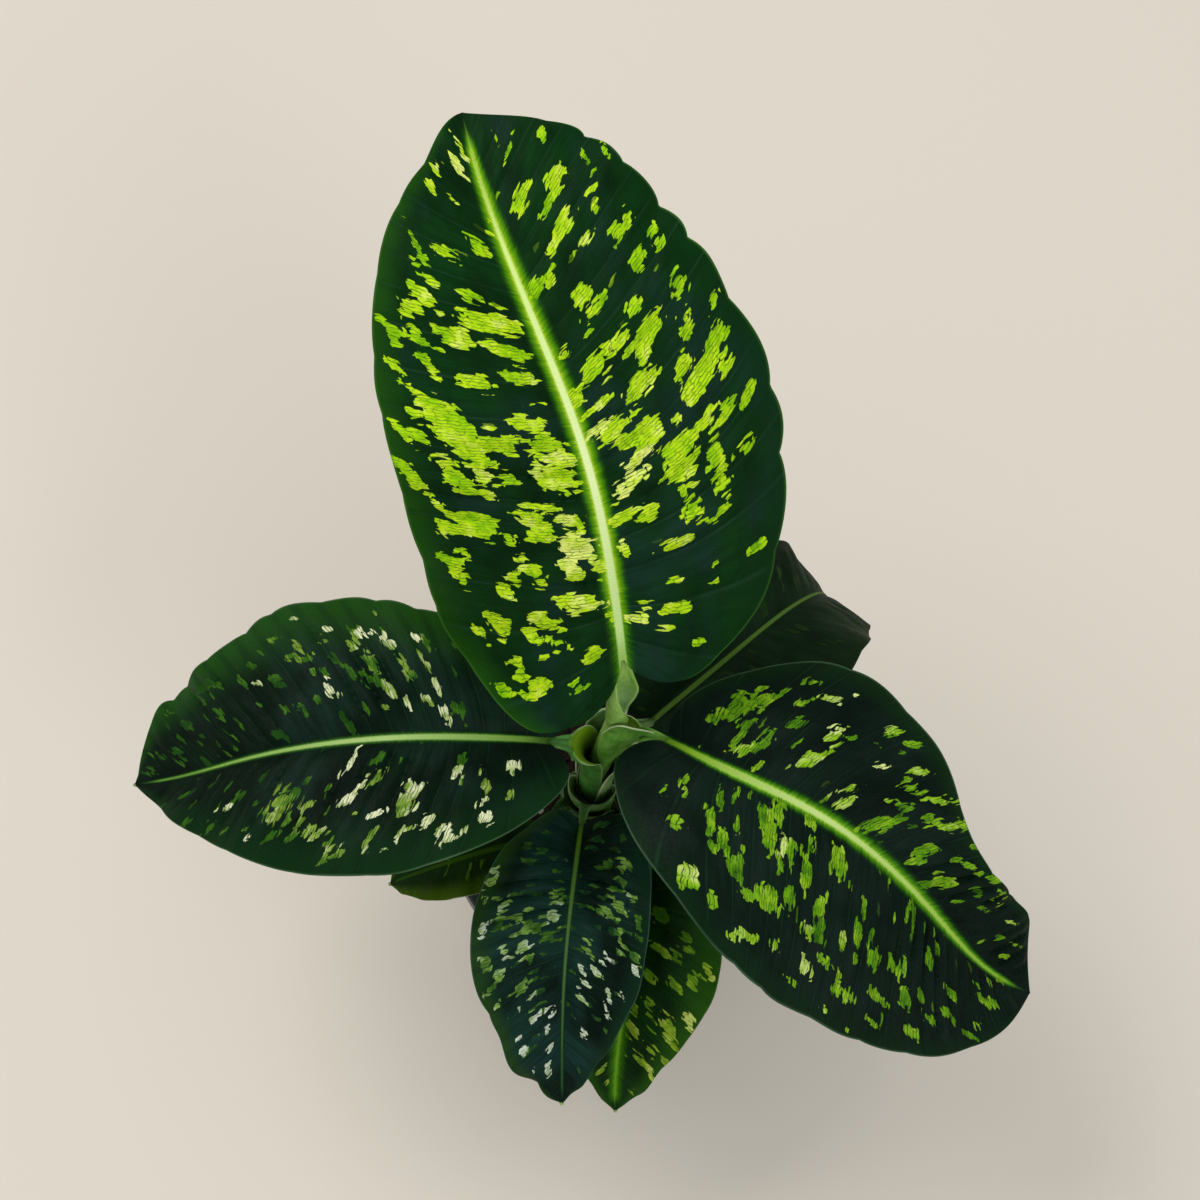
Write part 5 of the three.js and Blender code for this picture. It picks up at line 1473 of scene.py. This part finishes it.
def peatMaterial():
    # sphagnum peat: nearly black crumbs with brown fibre, no gloss; dark as moist peat is, and darkened
    # further as painted shade
    material = newMaterial("peat")
    at = addNode(material, "TexCoord").outputs["Object"]
    crumbs = addNode(material, "TexVoronoi", {"Scale": 520.0, "Vector": at})
    fine = addNode(material, "TexNoise", {"Scale": 900.0, "Detail": 5.0, "Roughness": 0.7, "Vector": at})
    shade = addNode(material, "Math", {"operation": "MULTIPLY_ADD", 0: crumbs, 1: 0.5, 2: fine})
    colour = addNode(material, "ValToRGB", {"stops": zip((0.45, 0.7, 0.95), soil["peat"]), "Fac": shade})
    relief = addNode(material, "Math", {"operation": "SUBTRACT", 0: fine, 1: crumbs})
    return finishMaterial(material, {"Roughness": 0.95, "Specular IOR Level": 0.2, "Base Color": colour},
                          (relief, 0.0012))


def bitMaterial(name, colours, scale, rough):
    # bark is fibrous and dull, perlite is a chalky foam of glass: each with specks of its own
    material = newMaterial(name)
    at = addNode(material, "TexCoord").outputs["Object"]
    fleck = addNode(material, "TexNoise", {"Scale": scale, "Detail": 4.0, "Roughness": 0.65, "Vector": at})
    stops = [(0.3 + 0.4 * k / (len(colours) - 1), colour) for k, colour in enumerate(colours)]
    colour = addNode(material, "ValToRGB", {"stops": stops, "Fac": fleck})
    return finishMaterial(material, {"Roughness": rough, "Specular IOR Level": 0.25, "Base Color": colour},
                          (fleck, 0.0003))


def scatter(name, model, kind, seed, flat):
    chance = np.random.default_rng(seed)
    deselectAll()
    copies = []
    for k in range(soil[kind]["count"]):
        copy = model.copy()
        copy.data = model.data.copy()
        bpy.context.scene.collection.objects.link(copy)
        angle = chance.uniform(0, 2 * math.pi)
        radius = math.sqrt(chance.uniform(15.5 ** 2, (potInner(soil["surface"]) - 4) ** 2))
        size = chance.uniform(*soil[kind]["size"]) * chance.uniform(0.7, 1)
        x, y = radius * math.cos(angle), radius * math.sin(angle)
        z = float(soilHeight(np.array(x), np.array(y)))
        tilt = chance.normal(0, flat, 2)
        copy.scale = np.array([1, chance.uniform(0.5, 0.95), chance.uniform(0.7, 1.1)]) * size / 1000
        copy.rotation_euler = (tilt[0], tilt[1], chance.uniform(0, 2 * math.pi))
        copy.location = (x / 1000, y / 1000, (z + 0.12 * size) / 1000)
        copies.append(copy)
    for copy in copies:
        copy.select_set(True)
    bpy.context.view_layer.objects.active = copies[0]
    bpy.ops.object.transform_apply(location=True, rotation=True, scale=True)
    bpy.ops.object.join()
    piece = bpy.context.active_object
    piece.name = piece.data.name = name
    bpy.data.objects.remove(model)
    return piece


def makeSoil():
    holeRadius, reach = stem["radius"] - 0.4, potInner(soil["surface"]) - 0.15
    bottom = pot["recess"] + pot["floor"] + 0.3
    profile = [(0, bottom), (potInner(bottom) - 0.3, bottom)]
    for f in np.linspace(1, 0, soil["rings"]):
        profile.append((mix(holeRadius, reach, f), soil["surface"]))
    profile += [(holeRadius, soil["surface"] - soil["holeDepth"]), (0, soil["surface"] - soil["holeDepth"])]
    piece = spinProfile("peat_mix", profile, soil["steps"])
    points = readPoints(piece) * 1000
    top = points[:, 2] > soil["surface"] - 0.5
    points[top, 2] = soilHeight(points[top, 0], points[top, 1])
    placePoints(piece, points / 1000)
    piece.data.materials.append(peatMaterial())
    onlySelect(piece)
    bpy.ops.object.shade_smooth_by_angle(angle=math.radians(50))
    settle(piece, "potting_mix")

    chance = np.random.default_rng(5)
    deselectAll()
    bpy.ops.mesh.primitive_cube_add(size=1)
    chip = bpy.context.active_object
    bpy.ops.object.mode_set(mode="EDIT")
    bpy.ops.mesh.subdivide(number_cuts=1)
    bpy.ops.object.mode_set(mode="OBJECT")
    points = readPoints(chip) * np.array([1, 0.55, 0.26])
    placePoints(chip, points + chance.normal(0, 0.045, points.shape))
    bark = scatter("bark_chips", chip, "bark", 11, 0.22)
    bark.data.materials.append(bitMaterial("pine_bark", soil["bark"]["colours"], 420.0, 0.85))
    settle(bark, None)

    deselectAll()
    bpy.ops.mesh.primitive_ico_sphere_add(subdivisions=2, radius=1)
    grain = bpy.context.active_object
    points = readPoints(grain)
    placePoints(grain, points * (1 + chance.normal(0, 0.1, (len(points), 1))))
    perlite = scatter("perlite_grains", grain, "perlite", 23, 1.0)
    perlite.data.materials.append(bitMaterial("perlite", soil["perlite"]["colours"], 900.0, 0.9))
    settle(perlite, None)


makeSoil()
print("potting mix ready")
